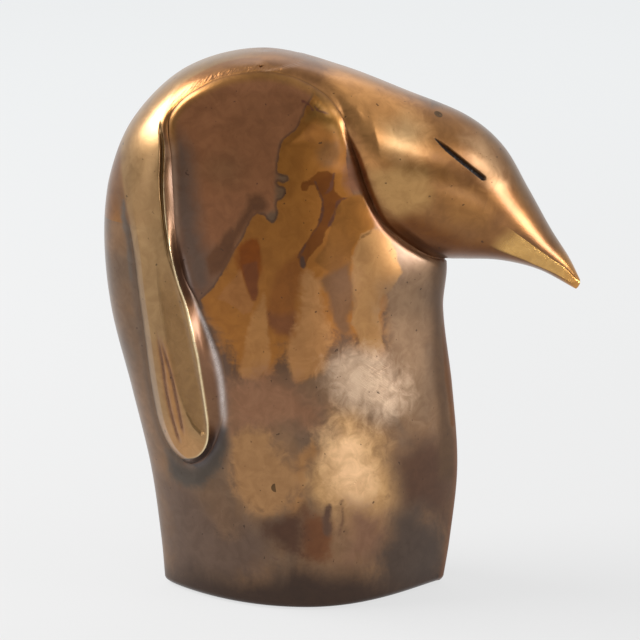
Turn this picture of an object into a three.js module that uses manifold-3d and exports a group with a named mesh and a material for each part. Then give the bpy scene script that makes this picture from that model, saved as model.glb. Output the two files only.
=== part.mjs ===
import * as THREE from "three";
import { mergeVertices } from "three/addons/utils/BufferGeometryUtils.js";
import Module from "manifold-3d";

// A stylised standing penguin cast in bronze, in millimetres.
// X runs from the back to the beak, Z is up from the felt under the base, and both sides of Y = 0 match.
// The body, the hood that makes the head and shoulders, and the two flippers are separate castings.

// Heights of the landmarks above the table
const crownHeight = 160;
const napeHeight = 140;
const neckHeight = 122;
const hemHeight = 112;
const backHeight = 105;
const throatHeight = 97.8;
const beakTipHeight = 91;
const breastHeight = 84;
const waistHeight = 60;
const flipperTipHeight = 40.7;
const bellyHeight = 36;
const ankleHeight = 14;

// Reaches from the middle of the base
const baseLength = 82.4;
const backReach = 57.8;
const chestReach = 45.3;
const throatReach = 41.6;
const beakReach = 80.4;
const beakTipBulge = 0.5;

// Half widths
const baseHalfWidth = 25.8;
const bellyHalfWidth = 26.7;
const breastHalfWidth = 26.3;
const neckHalfWidth = 23.6;
const mantleHalfWidth = 26;
const crownHalfWidth = 24;
const cheekHalfWidth = 19.4;

// Walls and fits
const bodyWall = 4;
const hoodWall = 3;
const headWall = 5;
const clearance = 0.3;

// Flippers: how far they stand proud of the body, and their pins
const flipperFrontProud = 4.2;
const flipperRearProud = 2;
const flipperHemFrontProud = 2.6;
const flipperHemRearProud = 1.2;
const hollowDepth = 0.9;
const grooveDepth = 0.8;
const grooveHalfWidth = 1.5;
const flipperPinRadius = 1.5;
const flipperPinReach = 1.3;
const flipperPinInside = 3;
const upperPinPlace = [-40.5, 101];
const lowerPinPlace = [-33.5, 64];

// Eye slits and the mouth, each a path of station and angle on the hood's skin
const eyePath = [
  [6.62, 0.827],
  [8.03, 0.968],
];
const eyeHalfHeight = 0.8;
const eyeDepth = 2.4;
const mouthPath = [
  [9.2, 1.38],
  [10.53, 1.193],
  [11.6, 0.9],
];
const mouthHalfHeight = 0.6;
const mouthDepth = 0.7;

// Hood fastening in the crown
const studRadius = 2.5;
const studCover = 2.4;
const studThreadBelow = 9;
const washerRadius = 5.5;
const washerThickness = 1;
const nutAcrossFlats = 8;
const nutHeight = 4;
const dowelRadius = 1.5;
const dowelSpacing = 18;
const dowelLength = 6;

// Core plugs, flush bronze discs that close the casting holes
const plugRadius = 1.3;
const plugLength = 3;
const bodyPlugPlace = [-8, 37];
const headPlugPlace = [6.52, 0.395];

// Base closing plate, its screws and the felt
const rimHeight = 0.3;
const feltThickness = 1.5;
const feltMargin = 0.8;
const plateThickness = 2;
const plateLedge = 2;
const screwRadius = 1.5;
const screwHeadRadius = 2.9;
const screwLength = 9;
const screwHeadHeight = 1.4;
const lugRadius = 5;
const lugHeight = 12;
const endScrewInset = 9.2;
const sideScrewInset = 8.3;

const wasm = await Module();
wasm.setup();

// Materials
const bronze = new THREE.MeshStandardMaterial({ color: 0x6b4a2c, roughness: 0.42, metalness: 1 });
const polishedBronze = new THREE.MeshStandardMaterial({ color: 0xa47a3e, roughness: 0.3, metalness: 1 });
const steel = new THREE.MeshStandardMaterial({ color: 0xa6a8aa, roughness: 0.35, metalness: 1 });
const felt = new THREE.MeshStandardMaterial({ color: 0x20221f, roughness: 0.95, metalness: 0 });

// Smooth curve through [position, value, value, ...] rows, read at any position
function profile(rows) {
  const slopes = rows.map((row, i) => {
    const before = rows[Math.max(i - 1, 0)];
    const after = rows[Math.min(i + 1, rows.length - 1)];
    return row.map((value, k) => (after[k] - before[k]) / (after[0] - before[0]));
  });
  return (position) => {
    const at = THREE.MathUtils.clamp(position, rows[0][0], rows[rows.length - 1][0]);
    let i = 0;
    while (i < rows.length - 2 && at > rows[i + 1][0]) {
      i += 1;
    }
    const span = rows[i + 1][0] - rows[i][0];
    const t = (at - rows[i][0]) / span;
    const values = [];
    for (let k = 1; k < rows[0].length; k += 1) {
      const value =
        (2 * t ** 3 - 3 * t ** 2 + 1) * rows[i][k] +
        (t ** 3 - 2 * t ** 2 + t) * span * slopes[i][k] +
        (3 * t ** 2 - 2 * t ** 3) * rows[i + 1][k] +
        (t ** 3 - t ** 2) * span * slopes[i + 1][k];
      values.push(value);
    }
    return values;
  };
}

// Solids from geometries and back
function solid(geometry) {
  const bare = geometry.clone();
  bare.deleteAttribute("normal");
  bare.deleteAttribute("uv");
  const merged = mergeVertices(bare, 1e-5);
  return new wasm.Manifold(
    new wasm.Mesh({
      numProp: 3,
      vertProperties: new Float32Array(merged.attributes.position.array),
      triVerts: new Uint32Array(merged.index.array),
    }),
  );
}

function placed(geometry, x, y, z) {
  return solid(geometry.clone().translate(x, y, z));
}

function piece(name, shape, material) {
  const mesh = shape.getMesh();
  const geometry = new THREE.BufferGeometry();
  geometry.setAttribute("position", new THREE.BufferAttribute(mesh.vertProperties, 3));
  geometry.setIndex(new THREE.BufferAttribute(mesh.triVerts, 1));
  geometry.computeVertexNormals();
  const made = new THREE.Mesh(geometry, material);
  made.name = name;
  return made;
}

// Slope allowance: a wall this much thicker along X keeps its thickness where the flanks meet the keel
const keelSpread = 1.3;

// Skin over closed rings of equal length, with a cap on each end whose last one can bulge outward
function loft(rings, bulge = new THREE.Vector3()) {
  const count = rings[0].length;
  const points = rings.flat();
  const index = [];
  for (let r = 0; r < rings.length - 1; r += 1) {
    for (let k = 0; k < count; k += 1) {
      const a = r * count + k;
      const b = r * count + ((k + 1) % count);
      index.push(a, b, b + count, a, b + count, a + count);
    }
  }
  for (const [first, ring, reversed] of [
    [0, rings[0], true],
    [points.length - count, rings[rings.length - 1], false],
  ]) {
    const middle = new THREE.Vector3();
    for (const point of ring) {
      middle.addScaledVector(point, 1 / count);
    }
    const hub = points.length;
    points.push(middle.add(reversed ? new THREE.Vector3() : bulge));
    for (let k = 0; k < count; k += 1) {
      const a = first + k;
      const b = first + ((k + 1) % count);
      index.push(...(reversed ? [hub, b, a] : [hub, a, b]));
    }
  }
  const geometry = new THREE.BufferGeometry();
  const coordinates = points.flatMap((point) => point.toArray());
  geometry.setAttribute("position", new THREE.Float32BufferAttribute(coordinates, 3));
  geometry.setIndex(index);
  const made = solid(geometry);
  if (made.volume() > 0) {
    return made;
  }
  const turned = [];
  for (let i = 0; i < index.length; i += 3) {
    turned.push(index[i], index[i + 2], index[i + 1]);
  }
  geometry.setIndex(turned);
  return solid(geometry);
}

// Round bar between two points
function rod(radius, from, to, sides = 24) {
  const start = new THREE.Vector3(...from);
  const end = new THREE.Vector3(...to);
  const geometry = new THREE.CylinderGeometry(radius, radius, start.distanceTo(end), sides);
  const direction = end.clone().sub(start).normalize();
  const turn = new THREE.Quaternion().setFromUnitVectors(new THREE.Vector3(0, 1, 0), direction);
  geometry.applyQuaternion(turn);
  const middle = start.add(end).multiplyScalar(0.5);
  geometry.translate(middle.x, middle.y, middle.z);
  return solid(geometry);
}

function mirrored(shape) {
  return shape.mirror([0, 1, 0]);
}

// Body: level sections, a lens with a soft keel at the chest and a rounder edge at the back
const bodyTop = crownHeight - 3;
const spigotTop = bodyTop - hoodWall - 1;
const crownX = -12;
const backLine = profile([
  [0, -baseLength / 2],
  [ankleHeight, -baseLength / 2 - 1.1],
  [bellyHeight, -baseLength / 2 - 3.9],
  [waistHeight, -backReach + 7.4],
  [breastHeight, -backReach + 1.8],
  [backHeight, -backReach],
  [neckHeight, -backReach + 1.6],
  [crownHeight - 23, -backReach + 7],
  [crownHeight - 12, -backReach + 15.2],
  [bodyTop, crownX - 16],
]);
const chestLine = profile([
  [0, baseLength / 2],
  [ankleHeight, chestReach - 2],
  [bellyHeight, chestReach],
  [waistHeight, chestReach - 1.7],
  [breastHeight, throatReach - 0.9],
  [throatHeight, throatReach],
  [throatHeight + 10.2, throatReach - 3.1],
  [neckHeight, throatReach - 9.6],
  [crownHeight - 24, crownX + 36],
  [crownHeight - 12, crownX + 27],
  [bodyTop, crownX + 13],
]);
const widestX = profile([
  [0, 1],
  [waistHeight, -2],
  [hemHeight, -8],
  [bodyTop, crownX - 1],
]);
const halfWidth = profile([
  [0, baseHalfWidth],
  [bellyHeight, bellyHalfWidth],
  [breastHeight, breastHalfWidth],
  [neckHeight - 2, neckHalfWidth],
  [crownHeight - 22, neckHalfWidth - 2.6],
  [crownHeight - 10, neckHalfWidth - 5.6],
  [bodyTop, neckHalfWidth - 9.4],
]);
// Exponents of the section: 1 runs straight into the edge, a half is an ellipse
const backFullness = profile([
  [0, 0.85],
  [bellyHeight, 0.74],
  [breastHeight - 14, 0.58],
  [backHeight - 5, 0.46],
  [neckHeight + 3, 0.43],
  [bodyTop, 0.45],
]);
const chestFullness = profile([
  [0, 1.1],
  [waistHeight - 10, 0.95],
  [throatHeight, 0.78],
  [bodyTop, 0.5],
]);
// Radius on the keel and on the back's edge, and how far that rounding is felt
const keelRadius = profile([
  [0, 0.8, 1.8],
  [waistHeight, 1.3, 2.2],
  [throatHeight, 2.4, 2.4],
  [bodyTop, 2.4, 2.4],
]);
const keelReach = 8;

function lens(reach, fullness, width, radius, run) {
  const flank = width * Math.max(1 - reach * reach, 0) ** fullness;
  return Math.hypot(flank, Math.sqrt(2 * radius * run) * Math.exp(-run / keelReach));
}

function bodySide(x, z, inset = 0) {
  const [back] = backLine(z);
  const [front] = chestLine(z);
  const [middle] = widestX(z);
  const [chestKeel, backKeel] = keelRadius(z);
  const width = halfWidth(z)[0] - inset;
  if (x > middle) {
    const run = Math.max(front - x, 0);
    return lens(1 - run / (front - middle), chestFullness(z)[0], width, chestKeel, run);
  }
  const run = Math.max(x - back, 0);
  return lens(1 - run / (middle - back), backFullness(z)[0], width, backKeel, run);
}

function bodyRing(z, inset, steps) {
  const [back] = backLine(z);
  const [front] = chestLine(z);
  const [middle] = widestX(z);
  const ring = [];
  for (let k = 0; k < steps; k += 1) {
    const angle = (2 * Math.PI * k) / steps;
    const c = Math.cos(angle);
    const x = middle + (c > 0 ? front - middle : middle - back) * c;
    const onEdge = (2 * k) % steps === 0;
    const side = onEdge ? 0 : bodySide(x, z, inset) * Math.sign(Math.sin(angle));
    const kept = 1 - (inset * keelSpread) / (c > 0 ? front - middle : middle - back);
    ring.push(new THREE.Vector3(middle + (x - middle) * kept, side, z));
  }
  return ring;
}

function bodyLoft(low, high, insetAt, levels, steps) {
  const rings = [];
  for (let level = 0; level <= levels; level += 1) {
    const z = low + ((high - low) * level) / levels;
    rings.push(bodyRing(z, insetAt(z), steps));
  }
  return loft(rings);
}

// Flipper: a paddle on the body's side. For each height, x of the rear foot, rear rim, front rim and
// front foot, and how proud the rims stand.
const flipperLine = profile([
  [flipperTipHeight, -34.2, -33.6, -31.4, -30.4, 0.5, 0.5],
  [flipperTipHeight + 0.8, -36, -34.8, -30.8, -28.8, flipperRearProud * 0.7, flipperFrontProud * 0.45],
  [flipperTipHeight + 3, -38, -36.4, -29.8, -26.6, flipperRearProud * 0.9, flipperFrontProud * 0.7],
  [flipperTipHeight + 7, -40, -38, -28, -24.5, flipperRearProud, flipperFrontProud * 0.8],
  [flipperTipHeight + 12.5, -42, -40.1, -26.7, -22.8, flipperRearProud, flipperFrontProud * 0.9],
  [waistHeight, -43.4, -41.4, -27, -22.4, flipperRearProud, flipperFrontProud],
  [waistHeight + 10, -44.9, -42.9, -28.9, -22.8, flipperRearProud, flipperFrontProud],
  [breastHeight - 2, -46.2, -44.2, -31.8, -25.5, flipperRearProud, flipperFrontProud],
  [hemHeight - 19, -47.6, -45.6, -34.7, -31.1, flipperRearProud, flipperFrontProud * 0.93],
  [hemHeight - 8, -48.7, -46.8, -37.8, -35.7, flipperHemRearProud + 0.4, flipperHemFrontProud + 0.6],
  [hemHeight, -49.9, -47.8, -39.7, -38.2, flipperHemRearProud, flipperHemFrontProud],
]);
// Fluting on the paddle's face: x of the rear groove and of the ridge in front of it, and their strengths
const fluteLine = profile([
  [flipperTipHeight + 5.5, -34.8, -30, 0, 0],
  [flipperTipHeight + 9, -35.6, -30.4, 1, 0],
  [flipperTipHeight + 13, -36.6, -31.4, 1, 0.75],
  [waistHeight - 1, -37.8, -33.6, 1, 1],
  [waistHeight + 8, -39.3, -36, 1, 1],
  [breastHeight - 7, -40.8, -38.6, 1, 1],
  [breastHeight + 1, -41.9, -40.3, 0.5, 0.8],
  [hemHeight - 17, -43, -41.8, 0, 0.3],
  [hemHeight - 12, -43.6, -42.4, 0, 0],
]);

function flipperRelief(x, z) {
  const [rearFoot, rearRim, frontRim, frontFoot, rearProud, frontProud] = flipperLine(z);
  if (x <= rearFoot || x >= frontFoot) {
    return 0;
  }
  if (x < rearRim) {
    return rearProud * Math.sin(((x - rearFoot) / (rearRim - rearFoot)) * (Math.PI / 2));
  }
  if (x > frontRim) {
    const t = (frontFoot - x) / (frontFoot - frontRim);
    return frontProud * (t - 0.12 * Math.sin(2 * Math.PI * t));
  }
  const across = (x - rearRim) / (frontRim - rearRim);
  const [groove, ridge, grooveShare, hollowShare] = fluteLine(z);
  let relief = rearProud + (frontProud - rearProud) * across;
  relief -= grooveDepth * grooveShare * Math.exp(-(((x - groove) / grooveHalfWidth) ** 2) * 2);
  if (x > ridge) {
    const t = (x - ridge) / Math.max(frontRim - ridge, 0.1);
    relief -= hollowDepth * hollowShare * Math.sin(Math.PI * Math.min(t, 1) ** 0.7);
  }
  return relief;
}

// Seam between hood and body: up the mantle's front edge, over the breast as an arch, out under the throat.
// Each row is x, z, the radius with which the hood rolls down there, and how softly it meets the body.
const seamKnots = [
  [-38.2, hemHeight, 1.5, 0],
  [-39.7, neckHeight + 3, 1.6, 0],
  [-39.2, crownHeight - 25.5, 1.5, 0],
  [-36, crownHeight - 16.6, 1.3, 0],
  [-27.8, crownHeight - 8.8, 1.5, 0],
  [crownX, crownHeight - 4, 2.5, 0.2],
  [crownX + 11, crownHeight - 6, 5, 1],
  [crownX + 19, crownHeight - 10.8, 9, 1],
  [crownX + 25.1, crownHeight - 22.8, 9, 0.1],
  [throatReach - 23.9, throatHeight + 25.6, 7, 0],
  [throatReach - 19, throatHeight + 15, 6, 0],
  [throatReach - 13.5, throatHeight + 9.1, 5, 0],
  [throatReach - 4.9, throatHeight + 2.8, 3.5, 0],
  [throatReach + 0.4, throatHeight, 2.5, 0],
];
const creaseDepth = 0.5;
const region = 100;
const seamSteps = 48;
function seamLineOf(column) {
  const curve = new THREE.CatmullRomCurve3(
    seamKnots.map((row) => new THREE.Vector3(row[0], row[1], row[column])),
    false,
    "centripetal",
  );
  return curve.getPoints(seamSteps);
}
const seamPoints = seamLineOf(2);
const seamSoftness = seamLineOf(3).map((point) => THREE.MathUtils.clamp(point.z, 0, 1));

// Distance inside the seam, seen from the side, and the roll radius and softness at the nearest point of it
function seamAt(x, z) {
  let nearest = Infinity;
  let roll = 0;
  let softness = 0;
  let side = 1;
  for (let i = 0; i < seamPoints.length - 1; i += 1) {
    const a = seamPoints[i];
    const b = seamPoints[i + 1];
    const alongX = b.x - a.x;
    const alongZ = b.y - a.y;
    const t = THREE.MathUtils.clamp(
      ((x - a.x) * alongX + (z - a.y) * alongZ) / (alongX * alongX + alongZ * alongZ),
      0,
      1,
    );
    const offX = x - a.x - alongX * t;
    const offZ = z - a.y - alongZ * t;
    const distance = Math.hypot(offX, offZ);
    if (distance < nearest) {
      nearest = distance;
      roll = a.z + (b.z - a.z) * t;
      softness = seamSoftness[i] + (seamSoftness[i + 1] - seamSoftness[i]) * t;
      side = alongX * offZ - alongZ * offX > 0 ? 1 : -1;
    }
  }
  return [nearest * side, roll, softness];
}

// Hood: sections square to the middle plane, from the hem up the back and over the crown to the beak.
// Each row is station, outer x and z, centre x and z, inner x and z, and half width.
const hoodSpine = profile([
  [0, -backReach, backHeight, -20, 106, -10, 106, mantleHalfWidth + 1],
  [1, -backReach + 1.5, neckHeight, -22, 119, -10, 114, mantleHalfWidth],
  [2, -backReach + 8.8, napeHeight, -24, crownHeight - 32, -8, crownHeight - 40, mantleHalfWidth - 1.5],
  [3, crownX - 21.5, crownHeight - 5.4, -20, crownHeight - 26.5, -6, crownHeight - 40, crownHalfWidth],
  [4, crownX, crownHeight, crownX + 2.5, crownHeight - 24, -3, crownHeight - 42, crownHalfWidth],
  [5, crownX + 22, crownHeight - 4.7, crownX + 17, crownHeight - 27, 1, crownHeight - 44, crownHalfWidth - 1],
  [6, crownX + 42, crownHeight - 12.2, 20, crownHeight - 32.5, 12, throatHeight + 10.2, cheekHalfWidth + 1.8],
  [7, 47, crownHeight - 19.2, 34, crownHeight - 38.5, 24, throatHeight + 4.2, cheekHalfWidth],
  [8, 57.6, crownHeight - 28, 44, throatHeight + 18.2, 36, throatHeight + 1.4, cheekHalfWidth - 2.2],
  [9, beakReach - 15.3, beakTipHeight + 28.4, 52.5, throatHeight + 12.4, 46, throatHeight + 1.2, 14.2],
  [10, beakReach - 8.6, beakTipHeight + 16.4, 61.5, beakTipHeight + 12.6, 57, throatHeight + 0.8, 10.4],
  [11, beakReach - 3.3, beakTipHeight + 8.1, 70.8, beakTipHeight + 6.3, 68, beakTipHeight + 4.8, 6],
  [12, beakReach, beakTipHeight + 1.5, 79.5, beakTipHeight, beakReach - 1.9, beakTipHeight - 1.2, 1.5],
]);
const hoodFullness = profile([
  [0, 0.55],
  [1, 0.52],
  [2, 0.47],
  [3, 0.42],
  [4, 0.4],
  [5, 0.42],
  [6, 0.46],
  [7, 0.5],
  [9, 0.52],
  [10, 0.52],
  [12, 0.5],
]);
const hemBlend = 16;

function hoodPoint(station, angle, inset = 0) {
  const [outerX, outerZ, centreX, centreZ, innerX, innerZ, width] = hoodSpine(station);
  const [fullness] = hoodFullness(station);
  const c = Math.cos(angle);
  const s = Math.sin(angle);
  const reachX = c > 0 ? outerX - centreX : innerX - centreX;
  const reachZ = c > 0 ? outerZ - centreZ : innerZ - centreZ;
  const reach = Math.hypot(reachX, reachZ);
  const kept = Math.max(reach - inset, 0.2) / reach;
  const x = centreX + reachX * kept * Math.abs(c);
  const z = centreZ + reachZ * kept * Math.abs(c);
  const side = Math.abs(s) ** (2 * fullness) * Math.max(width - inset, 0.2);
  return new THREE.Vector3(x, Math.sign(s) * side, z);
}

// The hood's skin: even with the body and flippers at the hem, and rolled down into the crease at the seam
function hoodSkin(station, angle) {
  const point = hoodPoint(station, angle);
  const sign = Math.sign(point.y);
  const body = bodySide(point.x, point.z);
  let side = Math.abs(point.y);
  if (point.x < crownX && side > 1e-6) {
    const even = body + flipperRelief(point.x, hemHeight);
    const share = THREE.MathUtils.smoothstep(point.z, hemHeight, hemHeight + hemBlend);
    side = even + (side - even) * share;
  }
  if (point.z > hemHeight || point.x > crownX) {
    const [inside, roll, softness] = seamAt(point.x, point.z);
    if (side > body && inside < roll) {
      const t = THREE.MathUtils.clamp(inside / roll, 0, 1);
      const low = body - creaseDepth;
      const rise = THREE.MathUtils.lerp(Math.sqrt(t * (2 - t)), t * t * (3 - 2 * t), softness);
      side = low + (side - low) * rise;
    }
  }
  return new THREE.Vector3(point.x, sign * side, point.z);
}

function hoodNormal(station, angle) {
  const here = hoodPoint(station, angle);
  const alongStation = hoodPoint(station + 0.05, angle).sub(here);
  const alongAngle = hoodPoint(station, angle + 0.02).sub(here);
  const normal = alongAngle.cross(alongStation).normalize();
  return normal.y < 0 ? normal.negate() : normal;
}

// Angle on a section at which the skin lies some share of the roll radius inside the seam
function seamAngle(station, share) {
  let low = 0;
  let high = Math.PI;
  for (let halving = 0; halving < 24; halving += 1) {
    const middle = (low + high) / 2;
    const point = hoodPoint(station, middle);
    const [inside, roll] = seamAt(point.x, point.z);
    if (inside > share * roll) {
      low = middle;
    } else {
      high = middle;
    }
  }
  return low;
}

// Angles of one side of a section, with a grid line along the seam and others close above it
const skinSteps = 9;
const rollSteps = 4;
const sunkSteps = 1;
const leastGap = 0.15;
function sectionAngles(station) {
  const crease = Math.min(seamAngle(station, 0), Math.PI - leastGap);
  const rolled = Math.min(seamAngle(station, 1), crease - leastGap);
  const angles = [0];
  for (let k = 1; k <= skinSteps; k += 1) {
    angles.push((rolled * k) / skinSteps);
  }
  for (let k = 1; k <= rollSteps; k += 1) {
    angles.push(rolled + (crease - rolled) * Math.sin((Math.PI / 2) * (k / rollSteps)));
  }
  for (let k = 1; k <= sunkSteps; k += 1) {
    angles.push(crease + ((Math.PI - crease) * k) / sunkSteps);
  }
  return angles;
}

function hoodLoft(levels) {
  const rings = [];
  for (let level = 0; level <= levels; level += 1) {
    const station = (12 * level) / levels;
    const right = sectionAngles(station);
    const left = right.slice(1, -1).reverse();
    rings.push([...right, ...left.map((angle) => -angle)].map((angle) => hoodSkin(station, angle)));
  }
  return loft(rings, new THREE.Vector3(beakTipBulge, 0, -beakTipBulge));
}

// Side-view line of the seam, moved outward by a shift, with straight ends beyond the hem and throat
function seamLine(shift) {
  const line = [new THREE.Vector2(-region, hemHeight - shift)];
  seamPoints.forEach((point, i) => {
    const before = seamPoints[Math.max(i - 1, 0)];
    const after = seamPoints[Math.min(i + 1, seamPoints.length - 1)];
    const along = new THREE.Vector2(after.x - before.x, after.y - before.y).normalize();
    const drop = i === 0 ? shift : 0;
    line.push(new THREE.Vector2(point.x + along.y * shift, point.y - along.x * shift - drop));
  });
  line.push(new THREE.Vector2(throatReach + 6, throatHeight - 8));
  line.push(new THREE.Vector2(region, throatHeight - 20));
  return line;
}

// The side-view outline pulled across the whole width
function across(outline, from, to) {
  const depth = to - from;
  const geometry = new THREE.ExtrudeGeometry(new THREE.Shape(outline), { depth, bevelEnabled: false });
  geometry.rotateX(Math.PI / 2);
  geometry.translate(0, to, 0);
  return solid(geometry);
}

function hoodRegion(shift) {
  const outline = [
    ...seamLine(shift),
    new THREE.Vector2(region, crownHeight + 40),
    new THREE.Vector2(-region, crownHeight + 40),
  ];
  return across(outline, -region, region);
}

const bodyBlank = bodyLoft(rimHeight, bodyTop, () => 0, 19, 36);
const spigot = bodyLoft(breastHeight, spigotTop, () => hoodWall, 8, 26);
const spigotRoom = bodyLoft(breastHeight, spigotTop + clearance, () => hoodWall - clearance, 8, 26);
const cavityTop = spigotTop - bodyWall;
const cavityBlend = 26;
function cavityInset(z) {
  return bodyWall + hoodWall * THREE.MathUtils.smoothstep(z, hemHeight - cavityBlend, hemHeight);
}
const cavity = bodyLoft(rimHeight - 1, cavityTop, cavityInset, 10, 24);

// Base rebate, plate, felt and the lugs that take the plate's screws
const plateBottom = rimHeight + feltThickness;
const plateTop = plateBottom + plateThickness;
const plateInset = bodyWall - plateLedge;
const screwPlaces = [
  ["front", baseLength / 2 - endScrewInset, 0],
  ["back", endScrewInset - baseLength / 2, 0],
  ["right", 0, sideScrewInset - baseHalfWidth],
  ["left", 0, baseHalfWidth - sideScrewInset],
];

function slab(low, high, inset) {
  const rings = [low, high].map((z) => bodyRing(0, inset, 36).map((p) => p.setZ(z)));
  return loft(rings);
}

const rebate = slab(-1, plateTop + clearance, plateInset);
const lugBottom = plateTop + clearance;
const lugs = screwPlaces.map(([, x, y]) =>
  rod(lugRadius, [x, y, lugBottom], [x, y, lugBottom + lugHeight]).intersect(bodyBlank),
);

function screwShape(grow) {
  const tip = plateBottom + screwLength + (grow > 0 ? 1 : 0);
  const low = plateBottom - (grow > 0 ? 1 : 0);
  const outline = [
    new THREE.Vector2(0, low),
    new THREE.Vector2(screwHeadRadius + grow, low),
    new THREE.Vector2(screwHeadRadius + grow, plateBottom),
    new THREE.Vector2(screwRadius + grow, plateBottom + screwHeadHeight),
    new THREE.Vector2(screwRadius + grow, tip),
    new THREE.Vector2(0, tip),
  ];
  const trimmed = outline.filter((p, i) => i === 0 || p.distanceTo(outline[i - 1]) > 1e-6);
  const geometry = new THREE.LatheGeometry(trimmed, 16);
  geometry.rotateX(Math.PI / 2);
  return geometry;
}

function screwAt(x, y, grow) {
  return placed(screwShape(grow), x, y, 0);
}

// Fastening of the hood: a stud in the crown, its washer and nut inside the body, and two dowels
const studX = crownX;
const studTop = crownHeight - studCover;
const studBottom = cavityTop - studThreadBelow;
const stud = rod(studRadius, [studX, 0, studBottom], [studX, 0, studTop]);
const studRoom = rod(studRadius + clearance, [studX, 0, studBottom], [studX, 0, studTop + clearance]);
const washerTop = cavityTop - clearance;
const washerBottom = washerTop - washerThickness;
const washer = rod(washerRadius, [studX, 0, washerBottom], [studX, 0, washerTop]).subtract(studRoom);
const nutTop = washerBottom - clearance;
const nutBlock = rod(nutAcrossFlats / Math.sqrt(3), [studX, 0, nutTop - nutHeight], [studX, 0, nutTop], 6);
const nut = nutBlock.subtract(studRoom);
const dowelPlaces = [
  ["back", studX - dowelSpacing / 2],
  ["front", studX + dowelSpacing / 2],
];

function dowel(x, grow) {
  const low = spigotTop - dowelLength / 2 - grow;
  return rod(dowelRadius + grow, [x, 0, low], [x, 0, low + dowelLength + 2 * grow]);
}

// Core plugs: two in the body's sides and two high on the head, flush with the skin
function bodyPlugEnds(side) {
  const [x, z] = bodyPlugPlace;
  const surface = bodySide(x, z);
  return [
    [x, side * (surface - plugLength), z],
    [x, side * surface, z],
  ];
}

function headPlugEnds(side) {
  const here = hoodPoint(...headPlugPlace);
  const inner = here.clone().addScaledVector(hoodNormal(...headPlugPlace), -plugLength);
  return [inner, here].map((p) => [p.x, side * p.y, p.z]);
}

const plugEnds = [
  ["core_plug_body_right", bodyPlugEnds(-1)],
  ["core_plug_body_left", bodyPlugEnds(1)],
  ["core_plug_head_right", headPlugEnds(-1)],
  ["core_plug_head_left", headPlugEnds(1)],
];

function plug([inner, outer], grow) {
  const start = new THREE.Vector3(...inner);
  const end = new THREE.Vector3(...outer);
  const along = end.clone().sub(start).normalize();
  start.addScaledVector(along, -grow);
  end.addScaledVector(along, grow > 0 ? 2 : 0);
  return rod(plugRadius + grow, start.toArray(), end.toArray(), 16);
}

// Flipper solid: level sections whose outer side carries the rims and flutes
const pinPlaces = [
  ["upper", upperPinPlace],
  ["lower", lowerPinPlace],
];

// Ends of a pin that stands square to the body's flank
function pinEnds([x, z], side) {
  const slopeX = bodySide(x + 0.5, z) - bodySide(x - 0.5, z);
  const slopeZ = bodySide(x, z + 0.5) - bodySide(x, z - 0.5);
  const normal = new THREE.Vector3(-slopeX, 1, -slopeZ).normalize();
  const here = new THREE.Vector3(x, bodySide(x, z), z);
  const inner = here.clone().addScaledVector(normal, -bodyWall - flipperPinInside);
  const outer = here.clone().addScaledVector(normal, flipperPinReach);
  return [inner, outer].map((point) => new THREE.Vector3(point.x, side * point.y, point.z));
}

function pin(place, side, grow) {
  const [inner, outer] = pinEnds(place, side);
  const along = outer.clone().sub(inner).normalize();
  inner.addScaledVector(along, -grow);
  outer.addScaledVector(along, grow);
  return rod(flipperPinRadius + grow, inner.toArray(), outer.toArray(), 16);
}

function flipperSections() {
  const levels = 24;
  const top = hemHeight - clearance;
  const rings = [];
  for (let level = 0; level <= levels; level += 1) {
    const z = flipperTipHeight + (top - flipperTipHeight) * (level / levels) ** 1.35;
    const [rearFoot, rearRim, frontRim, frontFoot] = flipperLine(z);
    const [groove, ridge] = fluteLine(z);
    const stops = [rearFoot, rearRim];
    const flutes = [groove - grooveHalfWidth, groove, groove + grooveHalfWidth, ridge];
    stops.push(...flutes.filter((x) => x > rearRim && x < frontRim - 0.5));
    while (stops.length < 6) {
      stops.push(stops[stops.length - 1] + (frontRim - stops[stops.length - 1]) * 0.25);
    }
    const last = stops[stops.length - 1];
    stops.push(last + (frontRim - last) * 0.35, last + (frontRim - last) * 0.7);
    stops.push(frontRim, (frontRim + frontFoot) / 2, frontFoot);
    const outer = stops.map((x) => new THREE.Vector3(x, bodySide(x, z) + flipperRelief(x, z), z));
    const inner = stops.map((x) => new THREE.Vector3(x, bodySide(x, z) - 1, z)).reverse();
    rings.push([...outer, ...inner]);
  }
  return loft(rings);
}

const bodyRoom = bodyLoft(flipperTipHeight - 12, bodyTop - 18, () => -clearance, 16, 44);
let flipperShape = flipperSections().subtract(bodyRoom);
for (const [, place] of pinPlaces) {
  flipperShape = flipperShape.subtract(pin(place, 1, clearance));
}

// Cut along a path of station and angle on the hood, sunk square to the skin and pointed at both ends
function engraved(path, halfHeight, depth) {
  const knots = path.map(([station, angle]) => new THREE.Vector3(station, angle, 0));
  const line = new THREE.CatmullRomCurve3(knots);
  const steps = 14;
  const rings = [];
  for (let step = 0; step <= steps; step += 1) {
    const t = step / steps;
    const at = line.getPoint(t);
    const next = line.getPoint(Math.min(t + 0.02, 1));
    const last = line.getPoint(Math.max(t - 0.02, 0));
    const here = hoodPoint(at.x, at.y);
    const along = hoodPoint(next.x, next.y).sub(hoodPoint(last.x, last.y)).normalize();
    const normal = hoodNormal(at.x, at.y);
    const across = normal.clone().cross(along).normalize();
    const swell = Math.sqrt(Math.max(Math.sin(Math.PI * t), 0.02));
    const wide = halfHeight * swell;
    const ring = [
      [wide * 1.6, 1.5],
      [-wide * 1.6, 1.5],
      [-wide, 0],
      [-wide * 0.5, -depth * swell],
      [wide * 0.5, -depth * swell],
      [wide, 0],
    ];
    rings.push(ring.map(([a, n]) => here.clone().addScaledVector(across, a).addScaledVector(normal, n)));
  }
  return loft(rings);
}

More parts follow.
